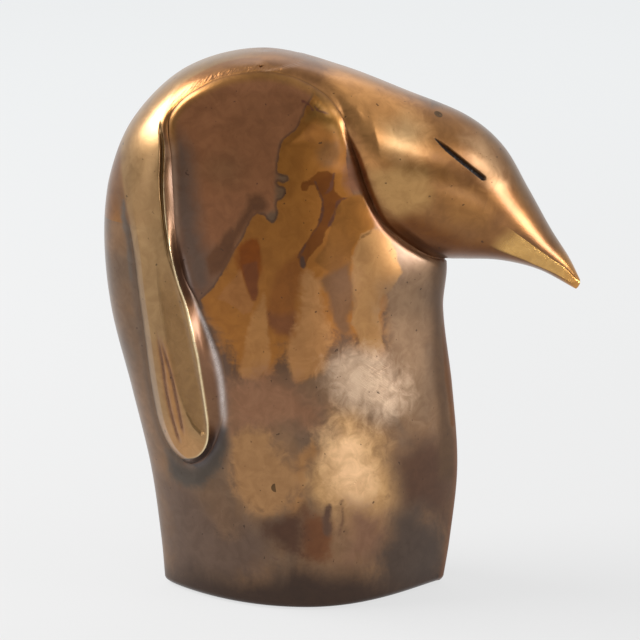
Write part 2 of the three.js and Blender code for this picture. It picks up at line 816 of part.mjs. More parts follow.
// Hood casting
const headCore = (() => {
  const rings = [];
  for (let level = 0; level <= 7; level += 1) {
    const station = 4.6 + (5 * level) / 7;
    const ring = [];
    for (let k = 0; k < 16; k += 1) {
      const point = hoodPoint(station, (2 * Math.PI * k) / 16, headWall);
      const centre = hoodSpine(station);
      const low = Math.cos((2 * Math.PI * k) / 16) < 0 ? 0.45 : 1;
      point.x = centre[2] + (point.x - centre[2]) * low;
      point.z = centre[3] + (point.z - centre[3]) * low;
      point.y *= 0.62;
      ring.push(point);
    }
    rings.push(ring);
  }
  return loft(rings);
})();

let hoodShape = hoodLoft(40)
  .add(bodyBlank)
  .intersect(hoodRegion(0))
  .subtract(spigotRoom)
  .subtract(headCore)
  .subtract(studRoom);
for (const cut of [
  engraved(eyePath, eyeHalfHeight, eyeDepth),
  engraved(mouthPath, mouthHalfHeight, mouthDepth),
]) {
  hoodShape = hoodShape.subtract(cut).subtract(mirrored(cut));
}
for (const [, x] of dowelPlaces) {
  hoodShape = hoodShape.subtract(dowel(x, clearance));
}

// Body casting
let bodyShape = bodyBlank.subtract(hoodRegion(clearance)).add(spigot).subtract(cavity);
for (const lug of lugs) {
  bodyShape = bodyShape.add(lug);
}
bodyShape = bodyShape.subtract(rebate).subtract(studRoom);
for (const [, x] of dowelPlaces) {
  bodyShape = bodyShape.subtract(dowel(x, clearance));
}
for (const [, x, y] of screwPlaces) {
  bodyShape = bodyShape.subtract(screwAt(x, y, clearance));
}
for (const [, place] of pinPlaces) {
  bodyShape = bodyShape.subtract(pin(place, 1, clearance)).subtract(pin(place, -1, clearance));
}
for (const [name, ends] of plugEnds) {
  if (name.includes("body")) {
    bodyShape = bodyShape.subtract(plug(ends, clearance));
  } else {
    hoodShape = hoodShape.subtract(plug(ends, clearance));
  }
}

let plateShape = slab(plateBottom, plateTop, plateInset + clearance);
for (const [, x, y] of screwPlaces) {
  plateShape = plateShape.subtract(screwAt(x, y, clearance));
}
const feltShape = slab(0, feltThickness, plateInset + clearance + feltMargin);

const group = new THREE.Group();
group.name = "bronze_penguin_sculpture";
group.add(piece("body_shell", bodyShape, bronze));
group.add(piece("hood_shell", hoodShape, polishedBronze));
group.add(piece("flipper_left", flipperShape, bronze));
group.add(piece("flipper_right", mirrored(flipperShape), bronze));
for (const [place, at] of pinPlaces) {
  group.add(piece(`flipper_pin_left_${place}`, pin(at, 1, 0), bronze));
  group.add(piece(`flipper_pin_right_${place}`, pin(at, -1, 0), bronze));
}
group.add(piece("hood_stud", stud, steel));
group.add(piece("hood_washer", washer, steel));
group.add(piece("hood_nut", nut, steel));
for (const [place, x] of dowelPlaces) {
  group.add(piece(`hood_dowel_${place}`, dowel(x, 0), steel));
}
for (const [name, ends] of plugEnds) {
  group.add(piece(name, plug(ends, 0), polishedBronze));
}
group.add(piece("base_plate", plateShape, bronze));
for (const [place, x, y] of screwPlaces) {
  group.add(piece(`base_screw_${place}`, screwAt(x, y, 0), steel));
}
group.add(piece("felt_pad", feltShape, felt));

export default group;
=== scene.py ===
import math

import bpy
import numpy as np
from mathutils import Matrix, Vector

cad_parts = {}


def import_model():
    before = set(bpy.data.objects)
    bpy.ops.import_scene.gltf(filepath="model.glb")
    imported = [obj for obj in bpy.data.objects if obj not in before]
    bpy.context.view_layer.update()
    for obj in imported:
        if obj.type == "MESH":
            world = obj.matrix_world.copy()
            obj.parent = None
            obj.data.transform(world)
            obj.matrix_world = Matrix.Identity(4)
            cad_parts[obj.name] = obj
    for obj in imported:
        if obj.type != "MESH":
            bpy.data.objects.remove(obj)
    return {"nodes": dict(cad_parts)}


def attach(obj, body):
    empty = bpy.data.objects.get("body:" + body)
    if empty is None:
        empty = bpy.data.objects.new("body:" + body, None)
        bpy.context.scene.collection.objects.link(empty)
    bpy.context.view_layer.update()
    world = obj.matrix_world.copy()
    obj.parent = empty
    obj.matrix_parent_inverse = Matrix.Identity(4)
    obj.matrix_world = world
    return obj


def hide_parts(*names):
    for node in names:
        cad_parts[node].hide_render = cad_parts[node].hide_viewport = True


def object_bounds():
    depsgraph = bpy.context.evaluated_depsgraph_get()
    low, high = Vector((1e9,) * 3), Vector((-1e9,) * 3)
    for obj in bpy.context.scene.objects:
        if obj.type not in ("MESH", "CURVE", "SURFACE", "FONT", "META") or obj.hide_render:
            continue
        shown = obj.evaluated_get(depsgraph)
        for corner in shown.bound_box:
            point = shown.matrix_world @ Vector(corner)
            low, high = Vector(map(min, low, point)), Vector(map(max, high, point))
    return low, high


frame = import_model()
cad_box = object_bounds()

MM = 0.001

# Landmarks of the figure in millimetres, as in the part's source
CROWN_HEIGHT = 160.0
NAPE_HEIGHT = 140.0
NECK_HEIGHT = 122.0
HEM_HEIGHT = 112.0
BACK_HEIGHT = 105.0
THROAT_HEIGHT = 97.8
BEAK_TIP = 91.0
BREAST_HEIGHT = 84.0
WAIST_HEIGHT = 60.0
FLIPPER_TIP_HEIGHT = 40.7
BELLY_HEIGHT = 36.0
ANKLE_HEIGHT = 14.0
RIM_HEIGHT = 0.3
BODY_TOP = CROWN_HEIGHT - 3.0
HALF_BASE = 41.2
BACK_REACH = 57.8
CHEST_REACH = 45.3
THROAT_REACH = 41.6
BEAK_REACH = 80.4
CROWN_X = -12.0
KEEL_REACH = 8.0


def profile(rows):
    """Smooth curve through rows of position and values, read at any positions."""
    table = np.array(rows, float)
    before = np.vstack([table[:1], table[:-1]])
    after = np.vstack([table[1:], table[-1:]])
    slopes = (after - before)[:, 1:] / (after - before)[:, :1]
    knots = table[:, 0]
    values = table[:, 1:]

    def at(position):
        p = np.clip(np.asarray(position, float), knots[0], knots[-1])
        i = np.clip(np.searchsorted(knots, p, side="right") - 1, 0, len(knots) - 2)
        span = knots[i + 1] - knots[i]
        t = ((p - knots[i]) / span)[..., None]
        span = span[..., None]
        found = (
            (2 * t**3 - 3 * t**2 + 1) * values[i]
            + (t**3 - 2 * t**2 + t) * span * slopes[i]
            + (3 * t**2 - 2 * t**3) * values[i + 1]
            + (t**3 - t**2) * span * slopes[i + 1]
        )
        return found[..., 0] if found.shape[-1] == 1 else np.moveaxis(found, -1, 0)

    return at


def smoothstep(low, high, value):
    t = np.clip((value - low) / (high - low), 0.0, 1.0)
    return t * t * (3 - 2 * t)


def mix(a, b, share):
    return a + (b - a) * share


def hump(value, width):
    return np.exp(-((value / width) ** 2))


# Body sections
back_line = profile(
    [
        [0, -HALF_BASE],
        [ANKLE_HEIGHT, -HALF_BASE - 1.1],
        [BELLY_HEIGHT, -HALF_BASE - 3.9],
        [WAIST_HEIGHT, -BACK_REACH + 7.4],
        [BREAST_HEIGHT, -BACK_REACH + 1.8],
        [BACK_HEIGHT, -BACK_REACH],
        [NECK_HEIGHT, -BACK_REACH + 1.6],
        [CROWN_HEIGHT - 23, -BACK_REACH + 7],
        [CROWN_HEIGHT - 12, -BACK_REACH + 15.2],
        [BODY_TOP, CROWN_X - 16],
    ]
)
chest_line = profile(
    [
        [0, HALF_BASE],
        [ANKLE_HEIGHT, CHEST_REACH - 2],
        [BELLY_HEIGHT, CHEST_REACH],
        [WAIST_HEIGHT, CHEST_REACH - 1.7],
        [BREAST_HEIGHT, THROAT_REACH - 0.9],
        [THROAT_HEIGHT, THROAT_REACH],
        [THROAT_HEIGHT + 10.2, THROAT_REACH - 3.1],
        [NECK_HEIGHT, THROAT_REACH - 9.6],
        [CROWN_HEIGHT - 24, CROWN_X + 36],
        [CROWN_HEIGHT - 12, CROWN_X + 27],
        [BODY_TOP, CROWN_X + 13],
    ]
)
widest_x = profile([[0, 1], [WAIST_HEIGHT, -2], [HEM_HEIGHT, -8], [BODY_TOP, CROWN_X - 1]])
half_width = profile(
    [
        [0, 25.8],
        [BELLY_HEIGHT, 26.7],
        [BREAST_HEIGHT, 26.3],
        [NECK_HEIGHT - 2, 23.6],
        [CROWN_HEIGHT - 22, 21.0],
        [CROWN_HEIGHT - 10, 18.0],
        [BODY_TOP, 14.2],
    ]
)
back_fullness = profile(
    [
        [0, 0.85],
        [BELLY_HEIGHT, 0.74],
        [BREAST_HEIGHT - 14, 0.58],
        [BACK_HEIGHT - 5, 0.46],
        [NECK_HEIGHT + 3, 0.43],
        [BODY_TOP, 0.45],
    ]
)
chest_fullness = profile([[0, 1.1], [WAIST_HEIGHT - 10, 0.95], [THROAT_HEIGHT, 0.78], [BODY_TOP, 0.5]])
keel_radius = profile(
    [[0, 0.8, 1.8], [WAIST_HEIGHT, 1.3, 2.2], [THROAT_HEIGHT, 2.4, 2.4], [BODY_TOP, 2.4, 2.4]]
)


def body_side(x, z):
    """Half width of the body at a place in the side view."""
    back, front, middle, width = back_line(z), chest_line(z), widest_x(z), half_width(z)
    chest_keel, back_keel = keel_radius(z)
    ahead = x > middle
    run = np.maximum(np.where(ahead, front - x, x - back), 0.0)
    reach = 1 - run / np.where(ahead, front - middle, middle - back)
    fullness = np.where(ahead, chest_fullness(z), back_fullness(z))
    radius = np.where(ahead, chest_keel, back_keel)
    flank = width * np.maximum(1 - reach * reach, 0.0) ** fullness
    return np.hypot(flank, np.sqrt(2 * radius * run) * np.exp(-run / KEEL_REACH))


# Edges of the flippers and of the hood, seen from the side, in x and z. Then the width of the edge's slope,
# its power, how crisp it is against a plain roll, how softly it meets the body, how much of it holds,
# the height of the rim beside a fine groove against that of the face, the depth of that groove, how deep
# the crease is, and how far and how widely the body swells up to the edge.
REAR_KNOTS = [
    [-52.9, 134, 2.6, 0.8, 1, 0.9, 0, 1, 0, 0, 0, 4],
    [-52.2, 126, 2.6, 0.8, 1, 0.8, 0.2, 1, 0, 0.05, 0, 4],
    [-51.0, 118, 2.4, 0.8, 1, 0.6, 0.7, 1, 0, 0.2, 0, 4],
    [-49.7, 111.6, 2.1, 0.8, 1, 0.4, 1, 1, 0, 0.4, 0, 4],
    [-48.4, 103.3, 2, 0.8, 1, 0.3, 1, 1, 0, 0.45, 0, 4],
    [-47.4, 93.3, 2, 0.8, 1, 0.2, 1, 1, 0, 0.45, 0, 4],
    [-45.9, 81, 2, 0.8, 1, 0.2, 1, 1, 0, 0.45, 0, 4],
    [-44.7, 69.3, 2, 0.8, 1, 0.2, 1, 1, 0, 0.45, 0, 4],
    [-43.4, 59.5, 2, 0.8, 1, 0.2, 1, 1, 0, 0.5, 0, 4],
    [-41.9, 52, 2, 0.85, 1, 0.2, 1, 1, 0, 0.5, 0, 4],
    [-39.1, 45.4, 2.1, 0.9, 1, 0.2, 1, 1, 0, 0.6, 0, 4],
    [-36.0, 42.2, 2.3, 0.95, 1, 0.2, 1, 1, 0, 0.8, 0, 4],
]
TIP_KNOT = [-32.9, 41.1, 2.4, 1, 1, 0.2, 1, 1, 0, 1, 0, 4]
FRONT_KNOTS = [
    [-29.9, 42.6, 2.2, 1.2, 1, 0.1, 1, 1, 0, 1, 0, 4],
    [-27.5, 45.3, 2.0, 1.3, 1, 0, 1, 1, 0, 1, 0, 4],
    [-25.6, 49.0, 2.2, 1.4, 1, 0, 1, 1, 0, 0.5, 0, 4],
    [-24.0, 53.5, 3.4, 1.5, 1, 0, 1, 1, 0, 0.25, 0, 4],
    [-22.9, 58.5, 4.9, 1.6, 1, 0, 1, 1, 0, 0.25, 0, 4],
    [-22.3, 65, 6.2, 1.6, 1, 0, 1, 1, 0, 0.25, 0, 4],
    [-22.5, 71.5, 6.8, 1.6, 1, 0, 1, 1, 0, 0.25, 0, 4],
    [-23.6, 76.5, 6.5, 1.6, 1, 0, 1, 1, 0, 0.25, 0, 4],
    [-25.5, 81.0, 5.6, 1.5, 1, 0, 1, 1, 0, 0.25, 0, 4],
    [-28.3, 87.2, 4.1, 1.5, 1, 0, 1, 1, 0, 0.25, 0, 4],
    [-31.2, 92.9, 2.5, 1.4, 1, 0, 1, 1, 0.03, 0.25, 0, 4],
    [-33.4, 97.0, 1.8, 1.3, 1, 0, 1, 1, 0.06, 0.25, 0, 4],
    [-34.9, 101.6, 1.6, 1.2, 1, 0, 1, 1, 0.12, 0.6, 0, 4],
    [-35.8, 106.2, 1.9, 1.1, 1, 0, 1, 1, 0.2, 0.4, 0, 4],
    [-36.3, 111, 2.2, 1.0, 1, 0, 1, 1, 0.28, 0.3, 0, 4],
    [-36.6, 116, 2.5, 1.0, 1, 0, 1, 0.92, 0.34, 0.25, 0, 4],
    [-36.8, 121.5, 2.7, 1.0, 1, 0, 1, 0.82, 0.36, 0.2, 0, 4],
    [-37.1, 127, 2.5, 1.0, 1, 0, 1, 0.68, 0.36, 0.2, 0, 4],
    [-37.4, 132, 2.0, 1.0, 1, 0, 1, 0.5, 0.34, 0.2, 0.2, 4],
    [-37.9, 136, 1.5, 1.0, 1, 0, 1, 0.34, 0.28, 0.3, 0.6, 4],
    [-38.3, 139.8, 1.4, 1, 0.6, 0.1, 1, 0.2, 0.1, 0.5, 1.2, 4],
    [-37.9, 143.0, 1.8, 1, 0.1, 0.3, 1, 0.1, 0, 0.6, 1.7, 4],
    [-36.0, 146.2, 2.4, 1, 0, 0.4, 1, 0, 0, 0.6, 1.9, 4],
    [-32.9, 149.2, 3, 1, 0, 0.4, 1, 0, 0, 0.6, 1.9, 4],
    [-28.5, 151.9, 3, 1, 0, 0.4, 1, 0, 0, 0.6, 1.7, 4],
    [-23.8, 154.1, 3, 1, 0, 0.4, 1, 0, 0, 0.5, 1.2, 4],
    [-19, 155.4, 3, 1, 0, 0.4, 1, 0, 0, 0.5, 0.7, 4],
    [CROWN_X, 156.2, 3, 1, 0, 0.6, 1, 0, 0, 0.3, 0.5, 4],
    [CROWN_X + 5.5, 155.6, 4, 1, 0, 0.9, 1, 0, 0, 0.1, 1.2, 4.5],
    [CROWN_X + 11, CROWN_HEIGHT - 6, 5, 1, 0, 1, 1, 0, 0, 0, 2.6, 6],
    [CROWN_X + 19, CROWN_HEIGHT - 10.8, 7, 1, 0, 1, 1, 0, 0, 0, 4.4, 9],
    [CROWN_X + 22.8, CROWN_HEIGHT - 16, 8, 1, 0, 0.9, 1, 0, 0, 0.15, 4.6, 9],
    [CROWN_X + 25.1, CROWN_HEIGHT - 22.8, 8, 1, 0, 0.5, 1, 0, 0, 0.8, 3.0, 8],
    [CROWN_X + 27.6, CROWN_HEIGHT - 30, 7, 1, 0, 0.1, 1, 0, 0, 1, 1.0, 6],
    [THROAT_REACH - 23.9, THROAT_HEIGHT + 25.6, 7, 1, 0, 0, 1, 0, 0, 1, 0.2, 5],
    [THROAT_REACH - 19, THROAT_HEIGHT + 15, 6, 1, 0, 0, 1, 0, 0, 1, 0, 4],
    [THROAT_REACH - 13.5, THROAT_HEIGHT + 9.1, 5, 1, 0, 0, 1, 0, 0, 1, 0, 4],
    [THROAT_REACH - 4.9, THROAT_HEIGHT + 2.8, 3.5, 1, 0, 0, 1, 0, 0, 1, 0, 4],
    [THROAT_REACH + 0.4, THROAT_HEIGHT, 2.5, 1, 0, 0, 1, 0, 0, 1, 0, 4],
]
FLIPPER_KNOTS = 20
PATH_STEPS = 6
CREASE_DEPTH = 0.5
VALLEY_WIDTH = 0.9
RIM_OFFSET = 0.55
RIM_GROOVE_WIDTH = 0.4
FACE_RISE = (0.4, 1.4)
EDGE_MARGIN = 1.6


def smooth_curve(knots, count):
    """Points along a centripetal spline through the knots."""
    first = 2 * knots[0] - knots[1]
    last = 2 * knots[-1] - knots[-2]
    held = np.vstack([first, knots, last])
    points = []
    for i in range(1, len(held) - 2):
        four = held[i - 1 : i + 3]
        gaps = np.maximum(np.linalg.norm(np.diff(four[:, :2], axis=0), axis=1) ** 0.5, 1e-6)
        t = np.concatenate([[0], np.cumsum(gaps)])
        u = np.linspace(t[1], t[2], count, endpoint=False)[:, None]
        a1 = (t[1] - u) / (t[1] - t[0]) * four[0] + (u - t[0]) / (t[1] - t[0]) * four[1]
        a2 = (t[2] - u) / (t[2] - t[1]) * four[1] + (u - t[1]) / (t[2] - t[1]) * four[2]
        a3 = (t[3] - u) / (t[3] - t[2]) * four[2] + (u - t[2]) / (t[3] - t[2]) * four[3]
        b1 = (t[2] - u) / (t[2] - t[0]) * a1 + (u - t[0]) / (t[2] - t[0]) * a2
        b2 = (t[3] - u) / (t[3] - t[1]) * a2 + (u - t[1]) / (t[3] - t[1]) * a3
        points.append((t[2] - u) / (t[2] - t[1]) * b1 + (u - t[1]) / (t[2] - t[1]) * b2)
    points.append(held[-2:-1])
    return np.vstack(points)


def line_distance(path, x, z):
    """Signed distance to a path in the side view, positive on its left, and the path's other values there."""
    shape = x.shape
    px, pz = x.ravel(), z.ravel()
    best = np.full(px.shape, np.inf)
    sign = np.ones(px.shape)
    place = np.zeros(px.shape)
    for i in range(len(path) - 1):
        ax, az = path[i, 0], path[i, 1]
        dx, dz = path[i + 1, 0] - ax, path[i + 1, 1] - az
        t = np.clip(((px - ax) * dx + (pz - az) * dz) / (dx * dx + dz * dz), 0, 1)
        ox, oz = px - ax - dx * t, pz - az - dz * t
        distance = ox * ox + oz * oz
        nearer = distance < best
        best = np.where(nearer, distance, best)
        sign = np.where(nearer, np.where(dx * oz - dz * ox > 0, 1.0, -1.0), sign)
        place = np.where(nearer, i + t, place)
    steps = np.arange(len(path))
    extra = [np.interp(place, steps, path[:, k]).reshape(shape) for k in range(2, path.shape[1])]
    return (np.sqrt(best) * sign).reshape(shape), extra


def held_back(path, x, z, reach):
    """Places beyond a path drawn back towards it, to no more than a reach from it."""
    places = np.stack([path[:, 0], path[:, 1], path[:, 0], path[:, 1]], axis=1)
    distance, (near_x, near_z) = line_distance(places, x, z)
    ahead = np.maximum(distance, 1e-6)
    share = np.where(distance > 0, reach * (1 - np.exp(-ahead / reach)) / ahead, 1.0)
    return near_x + (x - near_x) * share, near_z + (z - near_z) * share


def outline_distance(outline, x, z):
    """Distance to a closed outline in the side view, positive inside."""
    points = np.array(outline, float)
    px, pz = x.ravel(), z.ravel()
    best = np.full(px.shape, np.inf)
    inside = np.zeros(px.shape, bool)
    for (ax, az), (bx, bz) in zip(points, np.roll(points, -1, axis=0)):
        dx, dz = bx - ax, bz - az
        t = np.clip(((px - ax) * dx + (pz - az) * dz) / (dx * dx + dz * dz), 0, 1)
        best = np.minimum(best, (px - ax - dx * t) ** 2 + (pz - az - dz * t) ** 2)
        if dz != 0:
            crosses = (az > pz) != (bz > pz)
            inside ^= crosses & (px < ax + dx * (pz - az) / dz)
    return (np.sqrt(best) * np.where(inside, 1, -1)).reshape(x.shape)


seam_path = smooth_curve(np.array([TIP_KNOT, *FRONT_KNOTS], float), PATH_STEPS)
flipper_path = smooth_curve(
    np.array([*REAR_KNOTS, TIP_KNOT, *FRONT_KNOTS[:FLIPPER_KNOTS]], float), PATH_STEPS
)
rear_path = smooth_curve(np.array([*REAR_KNOTS, TIP_KNOT], float), PATH_STEPS)


def edge_rise(distance, width, power, crisp, soft, hold, rim, groove):
    """Share of the face's height at a distance inside an edge."""
    t = np.clip(distance / width, 0, 1)
    roll = mix(np.sqrt(t * (2 - t)), t * t * (3 - 2 * t), soft)
    beyond = smoothstep(width + FACE_RISE[0], width + FACE_RISE[1], distance)
    stepped = mix(t**power * rim, 1, beyond)
    stepped = stepped - groove * hump(distance - width - RIM_OFFSET, RIM_GROOVE_WIDTH)
    return mix(1, mix(roll, stepped, crisp), hold)


def edge_reach(width, crisp):
    return width + EDGE_MARGIN * crisp


def valley(distance, crease):
    """The crease that runs along an edge, on both sides of it."""
    return -CREASE_DEPTH * crease * hump(distance, VALLEY_WIDTH)


def body_swell(distance, swell, spread):
    """How far the body rises to meet the hood, in front of their seam and under the hood."""
    return swell * np.where(distance > 0, 1.0, hump(distance, spread))


# Flipper face: x of the rear and front rims, and how proud of the body they stand
rim_line = profile(
    [
        [FLIPPER_TIP_HEIGHT, -36, -31, 1.9, 2.2],
        [FLIPPER_TIP_HEIGHT + 3, -37.2, -29.8, 2, 2.6],
        [FLIPPER_TIP_HEIGHT + 7, -38.3, -28.2, 2, 3.2],
        [FLIPPER_TIP_HEIGHT + 12.5, -40.1, -27.1, 2, 3.6],
        [WAIST_HEIGHT, -41.4, -27.2, 2, 4],
        [WAIST_HEIGHT + 10, -42.9, -28.8, 2, 4.2],
        [BREAST_HEIGHT - 2, -44.2, -31.2, 2, 4.2],
        [HEM_HEIGHT - 19, -45.6, -34, 2, 3.9],
        [HEM_HEIGHT - 8, -46.8, -37.3, 1.6, 3.2],
        [HEM_HEIGHT, -47.8, -38.8, 1.2, 2.6],
        [HEM_HEIGHT + 10, -48.6, -39.9, 0.8, 2.4],
        [HEM_HEIGHT + 20, -49, -39.6, 0.5, 2.2],
    ]
)
GROOVES = [
    [(-42.2, 83.5), (-41.4, 78.4), (-40.5, 72.2), (-39.6, 64.2), (-37.8, 54.9), (-35.6, 47.2)],
    [(-41.6, 82.1), (-39.5, 74.5), (-37.9, 68.9), (-36.4, 60.6), (-34.6, 50.4)],
]
GROOVE_DEPTH = 0.7
GROOVE_WIDTH = 0.5
GROOVE_RUN_IN = 9
GROOVE_RUN_OUT = 3
HOLLOW = [
    (-41.9, 108), (-41.6, 96.6), (-40.9, 89.0), (-40.0, 82.9), (-39.1, 77.8), (-38.2, 72.7), (-37.3, 68.6),
    (-35.8, 63.5), (-33.9, 57.9), (-31.9, 54.0), (-29.5, 51.7), (-28.0, 52.5), (-27.6, 55.2), (-27.9, 59.3),
    (-28.8, 65.5), (-30.5, 73.7), (-32.8, 84.7), (-35.9, 96.6), (-39.0, 108),
]
HOLLOW_DEPTH = 0.9
HOLLOW_EDGE = 1.4
HOLLOW_FADE = (107, 88)
groove_paths = [smooth_curve(np.array(knots, float), 5) for knots in GROOVES]


def groove_marks(x, z):
    """How strongly the two worked grooves of the paddle show at a place."""
    marks = np.zeros(x.shape)
    for path in groove_paths:
        distance, _ = line_distance(path, x, z)
        top, foot = path[0, 1], path[-1, 1]
        run_out = smoothstep(foot - 0.3, foot + GROOVE_RUN_OUT, z)
        run_in = smoothstep(top + 0.5, top - GROOVE_RUN_IN, z)
        marks = np.maximum(marks, hump(distance, GROOVE_WIDTH) * run_in * run_out)
    return marks


def hollow_mark(x, z):
    """How far down the hollow of the paddle is at a place, as a share of its depth."""
    t = np.clip(outline_distance(HOLLOW, x, z) / HOLLOW_EDGE, 0, 1)
    return t * (2 - t) * smoothstep(*HOLLOW_FADE, z)


def flipper_face(x, z):
    rear_rim, front_rim, rear_proud, front_proud = rim_line(z)
    across = np.clip((x - rear_rim) / (front_rim - rear_rim), -0.3, 1.1)
    face = rear_proud + (front_proud - rear_proud) * across
    return face - GROOVE_DEPTH * groove_marks(x, z) - HOLLOW_DEPTH * hollow_mark(x, z)


# Hood: station, outer x and z, centre x and z, inner x and z, half width
hood_spine = profile(
    [
        [0, -BACK_REACH, BACK_HEIGHT, -20, 106, -10, 106, 27],
        [1, -BACK_REACH + 1.5, NECK_HEIGHT, -22, 119, -10, 114, 26],
        [2, -BACK_REACH + 8.8, NAPE_HEIGHT, -24, CROWN_HEIGHT - 32, -8, CROWN_HEIGHT - 40, 24.5],
        [3, CROWN_X - 21.5, CROWN_HEIGHT - 5.4, -20, CROWN_HEIGHT - 26.5, -6, CROWN_HEIGHT - 40, 24],
        [4, CROWN_X, CROWN_HEIGHT, CROWN_X + 2.5, CROWN_HEIGHT - 24, -3, CROWN_HEIGHT - 42, 24],
        [5, CROWN_X + 22, CROWN_HEIGHT - 4.7, CROWN_X + 17, CROWN_HEIGHT - 27, 1, CROWN_HEIGHT - 44, 23],
        [6, CROWN_X + 42, CROWN_HEIGHT - 12.2, 20, CROWN_HEIGHT - 32.5, 12, THROAT_HEIGHT + 10.2, 21.2],
        [7, 47, CROWN_HEIGHT - 19.2, 34, CROWN_HEIGHT - 38.5, 24, THROAT_HEIGHT + 4.2, 19.4],
        [8, 57.6, CROWN_HEIGHT - 28, 44, THROAT_HEIGHT + 18.2, 36, THROAT_HEIGHT + 1.4, 17.2],
        [9, BEAK_REACH - 15.3, BEAK_TIP + 28.4, 52.5, THROAT_HEIGHT + 12.4, 46, THROAT_HEIGHT + 1.2, 14.2],
        [10, BEAK_REACH - 8.6, BEAK_TIP + 16.4, 61.5, BEAK_TIP + 12.6, 57, THROAT_HEIGHT + 0.8, 10.4],
        [11, BEAK_REACH - 3.3, BEAK_TIP + 8.1, 70.8, BEAK_TIP + 6.3, 68, BEAK_TIP + 4.8, 6],
        [12, BEAK_REACH, BEAK_TIP + 1.5, 79.5, BEAK_TIP, BEAK_REACH - 1.4, BEAK_TIP - 1.3, 1.4],
    ]
)
hood_fullness = profile(
    [
        [0, 0.55], [1, 0.52], [2, 0.47], [3, 0.42], [4, 0.4], [5, 0.42],
        [6, 0.46], [7, 0.5], [9, 0.52], [10, 0.52], [12, 0.5],
    ]
)
BISECTIONS = 22


def hood_point(station, angle):
    outer_x, outer_z, centre_x, centre_z, inner_x, inner_z, width = hood_spine(station)
    c = np.cos(angle)
    reach_x = np.where(c > 0, outer_x, inner_x) - centre_x
    reach_z = np.where(c > 0, outer_z, inner_z) - centre_z
    x = centre_x + reach_x * np.abs(c)
    z = centre_z + reach_z * np.abs(c)
    side = width * np.abs(np.sin(angle)) ** (2 * hood_fullness(station))
    return x, side, z


def section_angle(stations, test):
    """Angle on each section at which a test of the side-view place turns false."""
    low = np.zeros(len(stations))
    high = np.full(len(stations), math.pi)
    for _ in range(BISECTIONS):
        middle = (low + high) / 2
        x, _, z = hood_point(stations, middle)
        held = test(x, z)
        low = np.where(held, middle, low)
        high = np.where(held, high, middle)
    return low


def within_seam(share):
    def test(x, z):
        inside, (width, _, crisp, *_) = line_distance(seam_path, x, z)
        return inside > share * edge_reach(width, crisp)

    return test


# Side-view ends of the eye slit, and the mouth and the lower edge of the facet under it
EYE_START = (37.2, 137.2)
EYE_END = (51.9, 124.9)
EYE_HALF_WIDTH = 0.74
EYE_DEPTH = 1.6
EYE_OPENING = 0.28
EYE_CLOSING = 0.95
TOOL_MARK = 0.1
FACET_SHARE = 0.85
LIP_STEP = 0.35
LIP_REACH = 0.1
mouth_line = profile(
    [
        [8.4, 1.42], [9.1, 1.29], [9.7, 1.213], [10, 1.166],
        [10.8, 1.07], [11.2, 0.95], [11.5, 0.88], [12, 0.82],
    ]
)
facet_line = profile(
    [[8.4, 1.75], [9.1, 1.82], [9.7, 1.92], [10.4, 1.93], [10.8, 1.98], [11.5, 1.8], [12, 1.8]]
)


def above_eye(x, z):
    run_x, run_z = EYE_END[0] - EYE_START[0], EYE_END[1] - EYE_START[1]
    return run_x * (z - EYE_START[1]) - run_z * (x - EYE_START[0]) > 0


# Meshes
def add_piece(name, points, faces, ledge, material, layers, node_names):
    """A piece with sharp edges between its ledge points, so that a hidden ledge doesn't bend the shading."""
    mesh = bpy.data.meshes.new(name)
    low, high = np.array(cad_box)
    mesh.from_pydata(np.clip(points * MM, low, high).tolist(), [], faces)
    for layer, values in layers.items():
        attribute = mesh.attributes.new(layer, "FLOAT", "POINT")
        attribute.data.foreach_set("value", np.ascontiguousarray(values, dtype=np.float32))
    mesh.materials.append(material)
    mesh.shade_smooth()
    ends = np.empty(len(mesh.edges) * 2, dtype=np.int32)
    mesh.edges.foreach_get("vertices", ends)
    sharp = mesh.attributes.new("sharp_edge", "BOOLEAN", "EDGE")
    sharp.data.foreach_set("value", ledge[ends.reshape(-1, 2)].all(axis=1))
    mesh.update()
    piece = bpy.data.objects.new(name, mesh)
    bpy.context.scene.collection.objects.link(piece)
    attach(piece, "root")
    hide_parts(*node_names)
    return piece


def closed_faces(rings, count):
    """Quads between closed rings, and a face over each end."""
    r, k = np.meshgrid(np.arange(rings - 1), np.arange(count), indexing="ij")
    a = r * count + k
    b = r * count + (k + 1) % count
    quads = np.stack([a, b, b + count, a + count], axis=-1).reshape(-1, 4).tolist()
    first = list(range(count))[::-1]
    last = list(range((rings - 1) * count, rings * count))
    return [first, *quads, last]


def both_sides(half):
    """Full rings from half rings that start and end in the middle plane."""
    other = half[:, -2:0:-1] * np.array([1, -1, 1])
    return np.concatenate([half, other], axis=1)


def both_sides_value(half):
    return np.concatenate([half, half[:, -2:0:-1]], axis=1)


def surface_normal(grid):
    along = np.gradient(grid, axis=0)
    across = np.gradient(grid, axis=1)
    normal = np.cross(across, along)
    normal /= np.maximum(np.linalg.norm(normal, axis=-1, keepdims=True), 1e-9)
    return np.where(normal[..., 1:2] < 0, -normal, normal)


def spaced(parts):
    """Values through the given stops, with so many steps between each pair."""
    values = [np.array([parts[0][0]])]
    for (start, steps), (end, _) in zip(parts[:-1], parts[1:]):
        values.append(np.linspace(start, end, steps + 1)[1:])
    return np.concatenate(values)


CROWD_SAMPLES = 700


def gathered(low, high, count, crowd):
    """Rows of count positions between low and high, closer together where crowd says."""
    share = np.linspace(0, 1, CROWD_SAMPLES)[None, :]
    position = low[:, None] + (high - low)[:, None] * share
    density = 1 + crowd(position)
    steps = np.cumsum((density[:, 1:] + density[:, :-1]) / 2, axis=1)
    total = np.concatenate([np.zeros((len(low), 1)), steps], axis=1)
    total /= total[:, -1:]
    wanted = np.linspace(0, 1, count)
    return np.stack([np.interp(wanted, total[i], position[i]) for i in range(len(low))])


